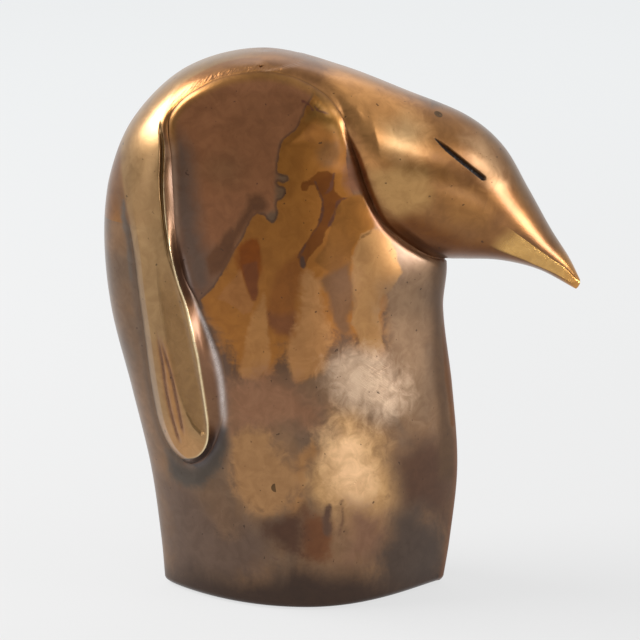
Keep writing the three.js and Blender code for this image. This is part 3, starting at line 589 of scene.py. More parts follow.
def evened(rows, reach):
    """Rows averaged with those up to a reach away, so that columns run smoothly across them."""
    held = np.concatenate([rows[:1]] * reach + [rows] + [rows[-1:]] * reach)
    total = np.cumsum(np.concatenate([np.zeros_like(rows[:1]), held]), axis=0)
    return (total[2 * reach + 1 :] - total[: -2 * reach - 1]) / (2 * reach + 1)


COARSE = 1
BODY_COLUMNS = 300
BODY_EVENING = 6
UNDERLAP = 1.3
UNDER_SHRINK = 0.98
BOTTOM_ROUND = 2.0
BOTTOM_TUCK = 1.4
HIDDEN_TOP = 0.8


def path_crossings(path, heights, last):
    """x at which a path crosses each height: its first crossing, or its last."""
    found = np.full(len(heights), np.nan)
    for i in range(len(path) - 1):
        (x0, z0), (x1, z1) = path[i, :2], path[i + 1, :2]
        between = (np.minimum(z0, z1) <= heights) & (heights <= np.maximum(z0, z1)) & (z0 != z1)
        x = x0 + (x1 - x0) * (heights - z0) / (z1 - z0 if z1 != z0 else 1)
        found = np.where(between & (last | np.isnan(found)), x, found)
    known = ~np.isnan(found)
    return np.interp(heights, heights[known], found[known])


def body_levels():
    return spaced(
        [
            (RIM_HEIGHT, 14 // COARSE),
            (RIM_HEIGHT + BOTTOM_ROUND + 0.2, 40 // COARSE),
            (FLIPPER_TIP_HEIGHT - 2.5, 26 // COARSE),
            (FLIPPER_TIP_HEIGHT + 4, 100 // COARSE),
            (HEM_HEIGHT, 50 // COARSE),
            (CROWN_HEIGHT - 15, 50 // COARSE),
            (BODY_TOP - HIDDEN_TOP, 0),
        ]
    )


def body_shape():
    levels = body_levels()
    left = path_crossings(seam_path, levels, False)
    right = path_crossings(seam_path[len(seam_path) // 2 :], levels, True)
    rear = path_crossings(rear_path, levels, False)
    middle, front, back = widest_x(levels), chest_line(levels), back_line(levels)
    throat = smoothstep(THROAT_HEIGHT - 6, THROAT_HEIGHT, levels)

    def crowd(angle):
        c = np.cos(angle)
        x = middle[:, None] + np.where(c > 0, (front - middle)[:, None], (middle - back)[:, None]) * c
        extra = 2.6 * hump(x - left[:, None] + 0.3, 1.6)
        extra = extra + 1.2 * hump(x - rear[:, None], 1.6)
        return extra + 1.8 * throat[:, None] * hump(x - right[:, None], 2.0)

    start = np.zeros(len(levels))
    angle = gathered(start, start + math.pi, BODY_COLUMNS // COARSE + 1, crowd)
    angle = evened(angle, BODY_EVENING)
    z = np.repeat(levels[:, None], angle.shape[1], axis=1)
    c = np.cos(angle)
    centre = widest_x(z)
    x = centre + np.where(c > 0, chest_line(z) - centre, centre - back_line(z)) * c
    y = body_side(x, z)
    y[:, 0] = 0
    y[:, -1] = 0
    flipper, flipper_values = line_distance(flipper_path, x, z)
    seam, seam_values = line_distance(seam_path, x, z)
    crease, seam_crease, swell, spread = flipper_values[7], seam_values[7], seam_values[8], seam_values[9]
    above_hem = z > HEM_HEIGHT + 0.01
    wing = np.where(z < HEM_HEIGHT + 1.5, flipper, -9.0)
    seam_cut = valley(np.minimum(seam, 0), seam_crease)
    cut = np.where(above_hem | (x > 10), seam_cut, valley(np.minimum(flipper, 0), crease))
    thin = np.clip(y / 3, 0, 1)
    y = np.maximum(y + (cut + body_swell(seam, swell, spread)) * thin, 0)
    under_wing = smoothstep(0.0, 0.7, wing) * (z < HEM_HEIGHT)
    under_hood = smoothstep(0.0, 0.8, seam) * above_hem
    under_chin = smoothstep(0.0, 0.8, seam) * ((x > 10) & (z > THROAT_HEIGHT - 1))
    sunk = np.maximum(under_wing, np.maximum(under_hood, under_chin))
    y = np.maximum(y - UNDERLAP * sunk, 0)
    shrink = np.maximum(under_hood, under_chin)
    x = mix(x, centre + (x - centre) * UNDER_SHRINK, shrink)
    edge = np.clip((RIM_HEIGHT + BOTTOM_ROUND - z) / BOTTOM_ROUND, 0, 1)
    tuck = BOTTOM_TUCK * (1 - np.sqrt(np.maximum(1 - edge * edge, 0)))
    x = x - np.sign(c) * np.minimum(tuck * 1.3, np.abs(x - centre)) * np.abs(c)
    y = np.maximum(y - tuck, 0)
    ledge = np.zeros(x.shape, dtype=bool)
    row = np.argmin(np.abs(levels - HEM_HEIGHT))
    ledge[row] = sunk[row + 1] > 0.9
    ledge[-1] = True
    return np.stack([x, y, z], axis=-1), ledge


FLIPPER_ROWS = 250
FLIPPER_COLUMNS = 130
FLIPPER_MARGIN = 0.35
FLIPPER_DEPTH = 1.6
HEM_OVERLAP = 0.8
HEM_INSET = 0.12


def flipper_shape():
    """Outer and inner grid of the right flipper, turned to positive y."""
    share = np.linspace(0, 1, FLIPPER_ROWS // COARSE) ** 1.6
    foot = FLIPPER_TIP_HEIGHT - 0.3
    levels = np.append(foot + (HEM_HEIGHT - foot) * share, HEM_HEIGHT + HEM_OVERLAP)
    rear = path_crossings(rear_path, levels, False)
    front = path_crossings(seam_path, levels, False)
    _, front_rim, _, _ = rim_line(levels)

    def crowd(x):
        return 1.5 * hump(x - front_rim[:, None], 0.7) + 0.8 * hump(x - rear[:, None], 1.0)

    x = gathered(rear - FLIPPER_MARGIN, front + FLIPPER_MARGIN, FLIPPER_COLUMNS // COARSE, crowd)
    z = np.repeat(levels[:, None], x.shape[1], axis=1)
    y = body_side(x, z) + band_height(x, z) - HEM_INSET * (z > HEM_HEIGHT)
    inner = np.stack([x[:, ::-1], body_side(x, z)[:, ::-1] - FLIPPER_DEPTH, z], axis=-1)
    outer = np.stack([x, y, z], axis=-1)
    return outer, inner


def band_height(x, z):
    """Height of the flipper over the body, with its edge and the crease round it."""
    inside, (width, power, crisp, soft, hold, rim, groove, crease, _, _) = line_distance(flipper_path, x, z)
    rise = edge_rise(inside, width, power, crisp, soft, hold, rim, groove)
    height = flipper_face(x, z) * rise + valley(inside, crease)
    return height - 1.2 * np.maximum(-inside, 0)


JOIN_REACH = 1.5


def hood_side(x, z, plain):
    """Half width of the hood, from its plain form and the edges that meet the body and flippers."""
    inside, values = line_distance(seam_path, x, z)
    width, power, crisp, soft, hold, rim, groove, crease, swell, spread = values
    join = smoothstep(CROWN_X - 6, CROWN_X + 6, x) * (1 - smoothstep(15, 22, x))
    body = body_side(x, z)
    drawn = body_side(*held_back(seam_path, x, z, JOIN_REACH))
    base = mix(body, np.maximum(drawn, body), join) + body_swell(inside, swell, spread)
    plain = plain - base
    rise = edge_rise(inside, width, power, crisp, soft, hold, rim, groove)
    rear, rear_values = line_distance(rear_path, x, z)
    rear_width, rear_power, rear_crisp, rear_soft, rear_hold, rear_rim, _, rear_crease = rear_values[:8]
    face = edge_rise(rear, rear_width, rear_power, rear_crisp, rear_soft, rear_hold, rear_rim, 0)
    face = flipper_face(x, z) * face + valley(rear, rear_crease)
    low = smoothstep(HEM_HEIGHT, HEM_HEIGHT + 16, z)
    face = np.where(x < CROWN_X, mix(face, plain, low), plain)
    height = face * rise + valley(inside, crease)
    return np.maximum(base + height - 0.7 * np.maximum(-inside, 0), 0)


HEM_STATION = 0.41
TIP_BULGE = 0.75


def hood_shape():
    """Half rings of the hood along its stations, and the marks of its carving."""
    stations = spaced(
        [
            (HEM_STATION, 160 // COARSE),
            (6.5, 100 // COARSE),
            (8.15, 30 // COARSE),
            (8.9, 120 // COARSE),
            (12, 0),
        ]
    )
    crease = np.minimum(section_angle(stations, within_seam(0)), math.pi - 0.12)
    rolled = np.minimum(section_angle(stations, within_seam(1)), crease - 0.04)
    rolled = np.maximum(rolled, 0.5 * crease)
    beak = smoothstep(8.5, 9.2, stations)
    rolled = mix(rolled, facet_line(stations), beak)
    crease = np.maximum(crease, rolled + 0.04)
    feature = mix(0.6 * rolled, section_angle(stations, above_eye), smoothstep(5.5, 6.4, stations))
    feature = mix(feature, mouth_line(stations), smoothstep(8.15, 8.8, stations))
    spread = mix(0.3 * rolled, 0.12, smoothstep(5.5, 6.4, stations))
    zero = np.zeros(len(stations))
    stops = [
        (zero, 26 // COARSE),
        (feature - spread, 40 // COARSE),
        (feature + spread, 22 // COARSE),
        (rolled, 28 // COARSE),
        (crease, 6 // COARSE),
        (zero + math.pi, 0),
    ]
    parts = [stops[0][0][:, None]]
    for (start, steps), (end, _) in zip(stops[:-1], stops[1:]):
        t = np.linspace(0, 1, steps + 1)[1:]
        parts.append(start[:, None] + (end - start)[:, None] * t)
    angle = np.concatenate(parts, axis=1)
    station = np.repeat(stations[:, None], angle.shape[1], axis=1)
    x, y, z = hood_point(station, angle)
    z = z + (HEM_HEIGHT - z[:1]) * (1 - smoothstep(HEM_STATION, 0.8, station))
    edge_gap = (back_line(z[:, :1]) - x[:, :1]) * np.clip(np.cos(angle), 0, 1)
    x = x + edge_gap * smoothstep(HEM_HEIGHT + 14, HEM_HEIGHT, z) * (station < 3)
    body = body_side(x, z)
    covering = (y > 1e-6) & ((y > body) | (x < CROWN_X))
    y = np.where(covering, hood_side(x, z, y), y)
    y[:, 0] = 0
    y[:, -1] = 0
    grid = np.stack([x, y, z], axis=-1)
    grid, marks = engrave(grid, station, angle, feature + spread)
    return tip_cap(grid, marks)


def engrave(grid, station, angle, limit):
    """Cuts the eye slit and sets the flat facet under the mouth."""
    normal = surface_normal(grid)
    mouth = mouth_line(station)
    lower = facet_line(station)
    rows = np.arange(grid.shape[0])
    top = grid[rows, np.argmin(np.abs(angle - mouth), axis=1)][:, None, :]
    bottom = grid[rows, np.argmin(np.abs(angle - lower), axis=1)][:, None, :]
    u = np.clip((angle - mouth) / (lower - mouth), 0, 1)
    chord = top + (bottom - top) * u[..., None]
    within = ((angle >= mouth) & (angle <= lower)).astype(float)
    along = smoothstep(9.2, 9.8, station) * (1 - smoothstep(11.75, 11.95, station))
    flat = within * along
    # Painted shade along the mouth line and along the facet's lower edge
    lip = along * np.maximum(
        smoothstep(-0.2, -0.04, angle - mouth) * (angle < mouth), hump(angle - lower - 0.02, 0.05)
    )
    shaped = grid + (chord - grid) * (flat * FACET_SHARE)[..., None]
    step = LIP_STEP * along * within * np.exp(-np.maximum(angle - mouth, 0) / LIP_REACH)
    shaped = shaped - normal * step[..., None]
    run_x, run_z = EYE_END[0] - EYE_START[0], EYE_END[1] - EYE_START[1]
    length = math.hypot(run_x, run_z)
    off_x, off_z = grid[..., 0] - EYE_START[0], grid[..., 2] - EYE_START[1]
    t = (off_x * run_x + off_z * run_z) / length**2
    across = np.abs(off_z * run_x - off_x * run_z) / length
    opening = np.clip(t / EYE_OPENING, 0, 1) ** 0.6
    past = np.maximum(t - EYE_CLOSING, 0) / (1 - EYE_CLOSING)
    closing = np.sqrt(np.clip(1 - past**2, 0, 1))
    width = EYE_HALF_WIDTH * opening * closing * ((t > 0) & (t < 1) & (angle < limit[:, None]))
    # The slit's inside, both cut in and given painted shade
    cut = np.where(width > 0.02, 1 - smoothstep(0.8, 1.04, across / np.maximum(width, 0.02)), 0)
    tool_marks = TOOL_MARK * np.sin(t * 130 + 2 * np.sin(t * 37))
    depth = (EYE_DEPTH + tool_marks) * cut * np.clip(width / 0.6, 0, 1)
    shaped = shaped - normal * depth[..., None]
    shaped[:, 0, 1] = 0
    shaped[:, -1, 1] = 0
    return shaped, {"slit": cut, "flat": flat, "lip": lip}


def tip_cap(grid, marks):
    """Rounds off the end of the beak."""
    last = grid[-1]
    centre = np.array([last[:, 0].mean(), 0, last[:, 2].mean()])
    outward = np.array([1, 0, -1]) / math.sqrt(2)
    turns = np.linspace(0, math.pi / 2, 10)[1:] * 0.98
    rings = [centre + (last - centre) * math.cos(a) + outward * TIP_BULGE * math.sin(a) for a in turns]
    rest = np.zeros((len(rings), grid.shape[1]))
    marks = {name: np.vstack([values, rest]) for name, values in marks.items()}
    return np.concatenate([grid, rings]), marks


# Patina, with painted highlights on the cheek, the crown and the belly and painted shade round the flipper's
# tip:
# outlines in the side view, the colour as it looks, how soft the edge is in millimetres, how far the stain
# wanders, how metallic it stays, and how rough it is
STAINS = [
    ("purple_top", [
        (-39.5, 122.8), (-39.7, 131.2), (-38.3, 139.5), (-34.3, 146.5), (-27.8, 151.4), (-19.2, 154.6),
        (-11.6, 155.5), (-3.7, 154.2), (2.8, 152.1), (2.5, 148.2), (0, 141.6), (-1.7, 139.5),
        (-5.7, 136.9), (-6.5, 132.2), (-7.1, 128), (-7.4, 118.1), (-12.2, 117), (-15.9, 112.4),
        (-17.9, 108.1), (-22.2, 102.3), (-26.5, 94.9), (-30, 91.8), (-33.4, 96.8), (-36.2, 105.9),
        (-38.4, 114.4)
    ], (132, 85, 52), 1.6, 1.0, 0.8, 0.38),
    ("purple_left", [
        (-37.4, 131.3), (-35.4, 138.4), (-32, 134.4), (-30.3, 123.4), (-29.2, 112), (-25, 103),
        (-25.6, 96.4), (-28.8, 92.7), (-32.8, 96.8), (-35.6, 107.4), (-37.8, 120.1)
    ], (89, 67, 53), 4, 1.0, 0.7, 0.34),
    ("red_top", [
        (-26.3, 132.7), (-19.5, 133.5), (-16.8, 130.2), (-18.8, 125.5), (-24.3, 125.4), (-28.4, 127.9)
    ], (128, 86, 54), 4, 1.0, 0.85, 0.38),
    ("gold", [
        (3.2, 150.7), (2.5, 148.9), (0.8, 146.8), (0.3, 144.6), (-1.1, 142), (-2.1, 140.4), (-4.6, 138.5),
        (-6, 137.2), (-6.6, 135.3), (-7, 132.9), (-7.3, 130.9), (-7.3, 128.6), (-6, 128.1), (-4.3, 127.7),
        (-4.1, 126.7), (-5.6, 125.9), (-7.3, 126.4), (-7.6, 125.8), (-7, 124.9), (-5.1, 124.2),
        (-5.3, 122.9), (-6, 121.4), (-7.3, 121), (-7.7, 119.5), (-7.3, 118.1), (-7.5, 116.1),
        (-8.5, 114.4), (-10, 115.1), (-11.4, 116.8), (-13.1, 117.1), (-14.5, 116.1), (-15.5, 114),
        (-16.5, 112), (-17.5, 109.6), (-18.9, 107.5), (-21, 103.2), (-23, 99.4), (-25.3, 95.8),
        (-27.7, 93.1), (-29.1, 91.8), (-28.6, 88.3), (-25.2, 78.8), (-19.5, 71.1), (-11.8, 71.4),
        (-3.8, 78.6), (7.6, 79.4), (13.9, 78.8), (22.5, 76.6), (24.2, 90.4), (21.9, 99.4), (19.6, 108.2),
        (16.7, 115.5), (13.8, 122.7), (12.4, 129.8), (12.1, 135.2), (10.4, 140.8), (7.6, 145.1),
        (4.8, 148.7)
    ], (149, 95, 38), 0.3, 0.35, 1, 0.34),
    ("light_top", [
        (3.5, 148.8), (9.3, 146.1), (12, 141.6), (12.7, 137), (7.9, 139.8), (4.2, 144.3), (0.8, 143.2)
    ], (138, 97, 44), 2, 0.8, 1, 0.34),
    ("olive", [
        (4.2, 133.9), (6.2, 136.4), (9.6, 136.1), (10, 132.8), (7.9, 130.3), (4.9, 131.2)
    ], (122, 80, 38), 1.6, 1.2, 1, 0.36),
    ("channel", [
        (2.5, 126.6), (4.2, 128.2), (6.9, 128.1), (8.6, 127.6), (9, 124.9), (8.6, 122.9), (10, 121.5),
        (12, 120.3), (10.3, 119.8), (9.3, 118.2), (8.8, 115.9), (7.6, 114.3), (6.2, 111.3), (5.6, 108.3),
        (3.5, 106.7), (1.8, 104.4), (0.8, 101.7), (-0.6, 101.7), (-1.9, 104.5), (-0.6, 106.5),
        (2.5, 111.8), (4.2, 113.8), (5.2, 116.4), (5.6, 120.5), (4.5, 122.5), (3.2, 124.9), (1.5, 125),
        (0.8, 123.7), (-0.2, 123.6), (-0.7, 124.8), (-0.2, 125.9), (1.5, 125.7)
    ], (107, 59, 14), 0.35, 0.5, 0.95, 0.38),
    ("amber", [
        (12, 120.3), (13.7, 121.8), (17.2, 121.5), (19, 116.6), (20.1, 112), (16.4, 109.4), (13.9, 105.9),
        (13.3, 97.4), (10.4, 94.8), (7.6, 100.1), (2.5, 103.2), (6.2, 107.9), (8.2, 113.4), (8.7, 117),
        (10.4, 119.4)
    ], (128, 82, 33), 0.6, 0.5, 1, 0.34),
    ("light_right", [
        (18.5, 110.3), (16.4, 109.2), (14.8, 107), (13.7, 103.7), (14, 103), (13.5, 98.1), (14, 93.6),
        (14.5, 89.5), (13.5, 85), (15, 82.4), (16.5, 77.7), (20, 75.2), (23, 76.8), (22.5, 81.4),
        (21.5, 86.1), (22, 91.1), (25, 93.2), (28.5, 97.8), (26.5, 104.5), (24.2, 108.2), (21.3, 110.8)
    ], (148, 108, 65), 0.5, 0.5, 1, 0.34),
    ("grey_throat", [
        (10.7, 142.9), (12.1, 137.9), (13, 133.8), (12.1, 129.8), (11.8, 124.3), (13.3, 121.4),
        (17.6, 121.5), (21.9, 111.8), (27.7, 106), (31.2, 103.2), (24.8, 108.7), (19.6, 116),
        (16.7, 125.2), (14.4, 135)
    ], (123, 80, 54), 1.4, 0.8, 0.8, 0.36),
    ("orange", [
        (-18.9, 107.5), (-16.2, 109.9), (-12.8, 110), (-11.8, 106.9), (-11.8, 101.1), (-13.5, 96.9),
        (-17.6, 98.9), (-19.1, 103.7)
    ], (127, 66, 13), 0.9, 0.7, 1, 0.34),
    ("lick", [
        (-24.4, 92.5), (-20.4, 97.2), (-17.7, 101.7), (-17, 98.3), (-16, 94.8), (-14, 91.3), (-15, 89.3),
        (-17, 88.2), (-19.5, 90.2)
    ], (150, 98, 50), 0.5, 0.5, 1, 0.34),
    ("tongue", [
        (-17.5, 102.7), (-13, 103.8), (-12.6, 99.3), (-12.9, 96.9), (-12.5, 94.9), (-13.3, 91.9),
        (-14.5, 92.3), (-15.5, 94.3), (-16.4, 97.3), (-17, 99.8)
    ], (107, 56, 18), 0.5, 0.3, 0.85, 0.38),
    ("rust", [
        (-8.6, 97.4), (-6.2, 101.9), (-1.7, 105.3), (0.2, 101.3), (-0.3, 96.8), (-1.7, 91.9), (-1.8, 84.9),
        (-3.7, 82.4), (-6.7, 82.9), (-9.6, 85.4), (-10.6, 89.4), (-9.9, 93.9)
    ], (130, 77, 27), 1.4, 1.2, 0.95, 0.36),
    ("rust_dark", [
        (-10.6, 88.9), (-6.2, 87.9), (-2.2, 89.4), (-1.8, 84.9), (-3.7, 82.4), (-6.7, 82.9), (-9.6, 84.9)
    ], (116, 68, 33), 1.6, 0.9, 0.9, 0.38),
    ("strip", [
        (-11.1, 95.4), (-10.3, 93.4), (-10.6, 89.4), (-10.4, 85.4), (-9.6, 80.8), (-9.9, 76.3),
        (-11.2, 71.7), (-13.2, 69.3), (-17.6, 69.4), (-18.6, 71.9), (-16.6, 77.6), (-15.6, 83.2),
        (-14.1, 87.8), (-12.3, 92.4)
    ], (159, 110, 60), 0.8, 0.8, 1, 0.34),
    ("tan_middle", [
        (1.2, 101.2), (5.1, 97.6), (6.1, 92.6), (7.1, 88.1), (8.6, 83.9), (8.1, 78.4), (5.1, 71.6),
        (-1.8, 68.7), (-4.2, 74.8), (-3.7, 79.9), (-2.2, 84.4), (-1.3, 92.9), (0.2, 99.8)
    ], (162, 114, 67), 1.6, 1.4, 1, 0.34),
    ("brown_column", [
        (5.1, 98.1), (9.1, 100.9), (13, 102.1), (14, 96), (14, 89.5), (13, 86.1), (14, 82.5), (11.1, 80.7),
        (9.1, 83.9), (7.1, 89.1), (6.1, 94.1)
    ], (109, 73, 41), 1.2, 0.9, 0.92, 0.36),
    ("haze_right", [
        (23, 94), (30, 96.5), (36.1, 96.3), (36.9, 66.8), (35.4, 51.7), (29.2, 53.2), (27.6, 65.8),
        (24.1, 76.6), (23, 84.8)
    ], (118, 92, 68), 5, 1.6, 0.9, 0.36),
    ("red_middle", [
        (-22.6, 68), (-18.1, 69.3), (-10.7, 70.6), (-3.8, 67.7), (7.1, 61.3), (5.1, 55.7), (-1.8, 55.9),
        (-9.7, 54.7), (-18.2, 53.7), (-21.2, 51.3), (-22.2, 58.1)
    ], (135, 95, 67), 5, 2, 0.9, 0.36),
    ("belly_left", [
        (-20.3, 51), (-16.1, 53.9), (-10.8, 53.5), (-7.2, 49.9), (-2.5, 45.1), (-0.1, 41.4), (1, 37),
        (-0.7, 33.9), (-3.1, 30.8), (-8.5, 28.1), (-13.3, 28.4), (-17.5, 31.7), (-20.4, 35.8), (-21, 41.5),
        (-20.4, 46.6)
    ], (154, 114, 74), 2.6, 2.4, 1, 0.34),
    ("belly_gold", [
        (8.2, 59.5), (15.3, 60.1), (20.1, 52.1), (23.1, 48.6), (24.9, 42.7), (27.4, 35.9), (26.8, 28.4),
        (23.2, 20.2), (15.4, 21.6), (9.4, 29.8), (4.6, 32.6), (1, 35.2), (1, 41.4), (3.4, 45), (6.4, 51)
    ], (180, 139, 92), 5, 2.4, 1, 0.32),
    # A worn, lighter spot on the belly, also carrying a painted highlight
    ("belly_wear_and_painted_highlight", [
        (9.3, 54.5), (15.3, 51.5), (18.9, 40.6), (18.9, 32.5), (14.1, 31.8), (9.4, 38.5), (7, 46.1)
    ], (226, 183, 137), 6, 2, 1, 0.3),
    # Brushed swirl marks, whose pale colour is also a painted highlight
    ("brushed_and_painted_highlight", [
        (9.1, 73.8), (13.1, 77), (19, 75.3), (24.1, 72), (27.6, 65.8), (28.7, 59.5), (24.1, 56.2),
        (17.6, 57.7), (11.1, 61), (8.6, 67.3)
    ], (180, 153, 127), 5.5, 2.4, 0.95, 0.34),
    ("belly_seam", [
        (-2.5, 46.9), (2.8, 50), (4.6, 48.1), (1.1, 43.8), (-0.1, 38.9), (0.4, 32.7), (-0.7, 28.3),
        (-3.7, 27.6), (-4.9, 32.6), (-1.3, 37), (-2.5, 42)
    ], (150, 107, 65), 2, 1.6, 0.95, 0.37),
    ("low_tan", [
        (12.4, 30.8), (24.4, 27.7), (25.1, 19.8), (21.4, 14.2), (13, 14.9), (12.4, 23.2)
    ], (117, 84, 62), 5, 2, 0.9, 0.36),
    ("brown_right", [
        (26.1, 43.7), (33.5, 47), (42.2, 44.7), (44.2, 31.4), (42.5, 17.4), (33.6, 26.7), (28.7, 28),
        (27.4, 35.9)
    ], (77, 50, 32), 5, 2, 0.85, 0.37),
    ("grey_right", [
        (26.2, 26), (33.6, 26.7), (42.5, 14.7), (40.2, -0.7), (27.7, 0.8), (22.7, 7.4), (21.4, 14.2),
        (25.1, 19.8)
    ], (67, 51, 40), 5, 2, 0.8, 0.38),
    ("grey_left", [
        (-40.8, 33.1), (-33.9, 36.6), (-26.6, 29), (-19.3, 26.4), (-10.9, 22.2), (-11, 10.8), (-20.7, 8.2),
        (-38.2, 4.6), (-41.3, 12.5), (-42.3, 25.6)
    ], (90, 69, 55), 5, 2, 0.8, 0.37),
    ("rust_left", [
        (-30.2, 33.5), (-24.7, 35.8), (-20.5, 31.3), (-19.3, 23.8), (-23, 20.7), (-27.2, 25)
    ], (105, 79, 58), 3.4, 2, 0.85, 0.37),
    ("red_low", [
        (0.4, 30.8), (7, 26.2), (7.6, 17.4), (4.6, 15), (-0.2, 17), (-0.8, 25.2)
    ], (102, 62, 34), 2.4, 1.8, 0.9, 0.37),
    ("dark_middle", [
        (-8.5, 27.4), (-2.5, 30.2), (0.4, 32.7), (-0.2, 27.7), (0.4, 22.7), (-1.4, 17), (-6.1, 17.5),
        (-10.9, 22.2), (-12.1, 25.9)
    ], (73, 45, 27), 3, 2, 0.8, 0.4),
    ("dark_low", [
        (-42.1, 1.4), (-33, 9.1), (-20.7, 7.5), (-11, 8.8), (-2.6, 13.8), (7, 10.4), (15.4, 10.1),
        (27.6, 3.5), (41.5, 2.9), (41.5, -4.4), (9.4, -5.7), (-26.9, -6.1), (-42.2, -5.1)
    ], (52, 33, 20), 5, 1.4, 0.75, 0.38),
    ("tip_shade", [
        (-36, 46), (-26, 50), (-23.8, 54), (-22.1, 54),
        (-21.5, 49), (-23.4, 41.8), (-28.3, 34.5), (-35.1, 33.6), (-38.9, 35.8), (-40.5, 44)
    ], (68, 58, 49), 1.8, 0.9, 0.75, 0.34),
    ("edge_plum", [
        (37.4, 99.6), (41.7, 98), (40.7, 89), (40.8, 79.6), (42.7, 54.8), (45.3, 31.5), (40, 33.3),
        (39.3, 55.9), (37.1, 70.7), (37, 87.1)
    ], (80, 55, 32), 1.6, 0.6, 0.8, 0.36),
    ("blotch", [
        (-15.1, 121.5), (-12.1, 122.2), (-10, 119.5), (-11.4, 117.5), (-13.4, 117.4), (-15.1, 115),
        (-16.5, 112.3), (-18.2, 109.5), (-19.6, 106.8), (-22.3, 101.5), (-26.5, 98.6), (-27.8, 104.1),
        (-24.4, 107.7), (-20.2, 112.9), (-16.8, 118.1)
    ], (92, 56, 29), 1.2, 0.9, 0.75, 0.4),
    ("blob", [
        (-1.1, 105.3), (0.2, 104.9), (0.8, 102.7), (0.2, 101.4), (-0.8, 102)
    ], (70, 46, 32), 0.4, 0.3, 0.8, 0.42),
    ("cheek_warm", [
        (7.6, 158.4), (17.3, 155.4), (23.7, 150.5), (31, 145.6), (35, 139.6), (34, 132.6), (27.2, 129.6),
        (20.3, 128.6), (16.9, 130.6), (14.4, 139.1), (10.5, 145.6), (7.6, 149.5)
    ], (190, 135, 79), 4, 1.0, 1, 0.31),
    # Painted highlight on the cheek
    ("cheek_painted_highlight", [
        (23.7, 140.6), (29.1, 142.6), (33, 139.6), (32.1, 133.6), (27.2, 132.6), (23.7, 135.6)
    ], (196, 156, 108), 4.5, 0.8, 1, 0.3),
    ("cheek_olive", [
        (18.9, 128.6), (27.2, 129.6), (35, 128.6), (38.1, 122.4), (35.1, 117.6), (27.3, 114.6),
        (22.3, 117.6), (19.4, 123.6)
    ], (166, 126, 76), 3.2, 0.9, 1, 0.31),
    ("cheek_red", [
        (38, 129.5), (45, 123.9), (52.1, 120.3), (55.2, 116), (52.2, 111.2), (42.1, 112), (38.1, 117.4),
        (36.6, 124.6)
    ], (141, 97, 51), 4, 0.9, 1, 0.33),
    # Painted highlight on the crown of the head
    ("crown_painted_highlight", [
        (46.4, 136.8), (51.9, 135.9), (56, 129), (58.1, 122.8), (54.1, 124.2), (49, 130.1)
    ], (188, 148, 108), 4, 0.7, 1, 0.29),
    ("crown_dark", [
        (7.6, 161.3), (22.2, 155.9), (31.9, 152), (41.8, 148.1), (50.3, 142.5), (55.4, 136.6),
        (60.6, 129.2), (66.8, 118.6), (73.1, 108.9), (80, 96.5), (77.9, 96.7), (69.5, 108.2),
        (61.2, 122.1), (55, 132.1), (49.4, 138.1), (41.9, 143.6), (31, 148.5), (19.8, 152), (7.6, 156.9)
    ], (112, 82, 50), 2.4, 0.7, 0.95, 0.32),
    ("chin", [
        (23.8, 113.1), (31.2, 115.6), (39.1, 111.8), (47.2, 107), (55.3, 104.8), (63.5, 100), (52.4, 99),
        (41.3, 100), (35.2, 102.5), (28.3, 106.5), (23.9, 110.6)
    ], (103, 59, 16), 3, 0.7, 0.95, 0.3),
]
STREAKS = [
    ("drip_edge", [
        (3.5, 125.6), (4.5, 122.9), (5.5, 120.1), (5.2, 116.1), (3.9, 112.8), (1.5, 109.5), (-0.2, 106.5),
        (-1.4, 104.5)
    ], 0.22, (82, 50, 32), 0.3, 0.4, 0.9, 0.4),
    ("drip_right", [
        (13, 120.4), (11.3, 120.5), (10, 119.7), (9.1, 117.9), (8.6, 115.6), (7.3, 113.3)
    ], 0.2, (88, 52, 34), 0.3, 0.4, 0.9, 0.4),
    ("branch", [
        (8.7, 127.6), (8.3, 125.6), (7.8, 123.7), (6.2, 122.4)
    ], 0.3, (96, 58, 38), 0.3, 0.4, 0.9, 0.4),
    ("line", [
        (19.2, 110.4), (16.5, 109.1), (14.8, 107), (13.8, 103.7), (13.5, 99.6), (13.2, 95.5)
    ], 0.08, (112, 78, 42), 0.22, 0.3, 0.95, 0.36),
    ("scar", [
        (3.2, 147), (4.2, 145.9), (5.9, 145.3), (7.6, 144.8)
    ], 0.12, (104, 66, 40), 0.2, 0.5, 0.9, 0.4),
    ("scab", [
        (0.1, 148.3), (1.8, 147.4), (2.7, 146)
    ], 0.3, (104, 60, 44), 0.3, 0.6, 0.9, 0.4),
    ("drip_one", [
        (7.1, 30.6), (6.7, 27.5), (7.1, 23.7)
    ], 0.9, (86, 60, 44), 0.7, 0.8, 0.85, 0.42),
    ("drip_two", [
        (11, 32.2), (11.3, 27.1), (10.3, 22.2)
    ], 0.6, (96, 66, 46), 0.6, 0.8, 0.85, 0.42),
    ("edge_gold", [
        (40.8, 79.1), (41.5, 68.4), (42.7, 58.9), (43.9, 49.3)
    ], 0.7, (94, 59, 29), 0.5, 0.3, 1, 0.34),
    ("back_streak", [
        (-51.2, 118.4), (-51.2, 114.7), (-50.6, 111.3), (-49.9, 107.7), (-49.6, 102.4), (-49.4, 96.2)
    ], 0.5, (88, 80, 72), 0.6, 0.6, 0.8, 0.38),
    ("crown_mark", [
        (36.9, 144.9), (39.4, 144.7)
    ], 0.5, (98, 72, 48), 0.7, 0.5, 0.9, 0.34),
]


STAIN_REACH = 25
GOLD_FADE = 4.0
ARCH_FOOT = HEM_HEIGHT + 18
ARCH_TOP = HEM_HEIGHT + 30


def wandered(x, y, z):
    """Side-view places at which the stains are read, so that the two sides don't match."""
    left = smoothstep(0, 9, y)
    return x + left * (3.5 * np.sin(z / 13.0) + 2), z + left * (4.5 * np.sin(x / 17.0 + 1) - 2)


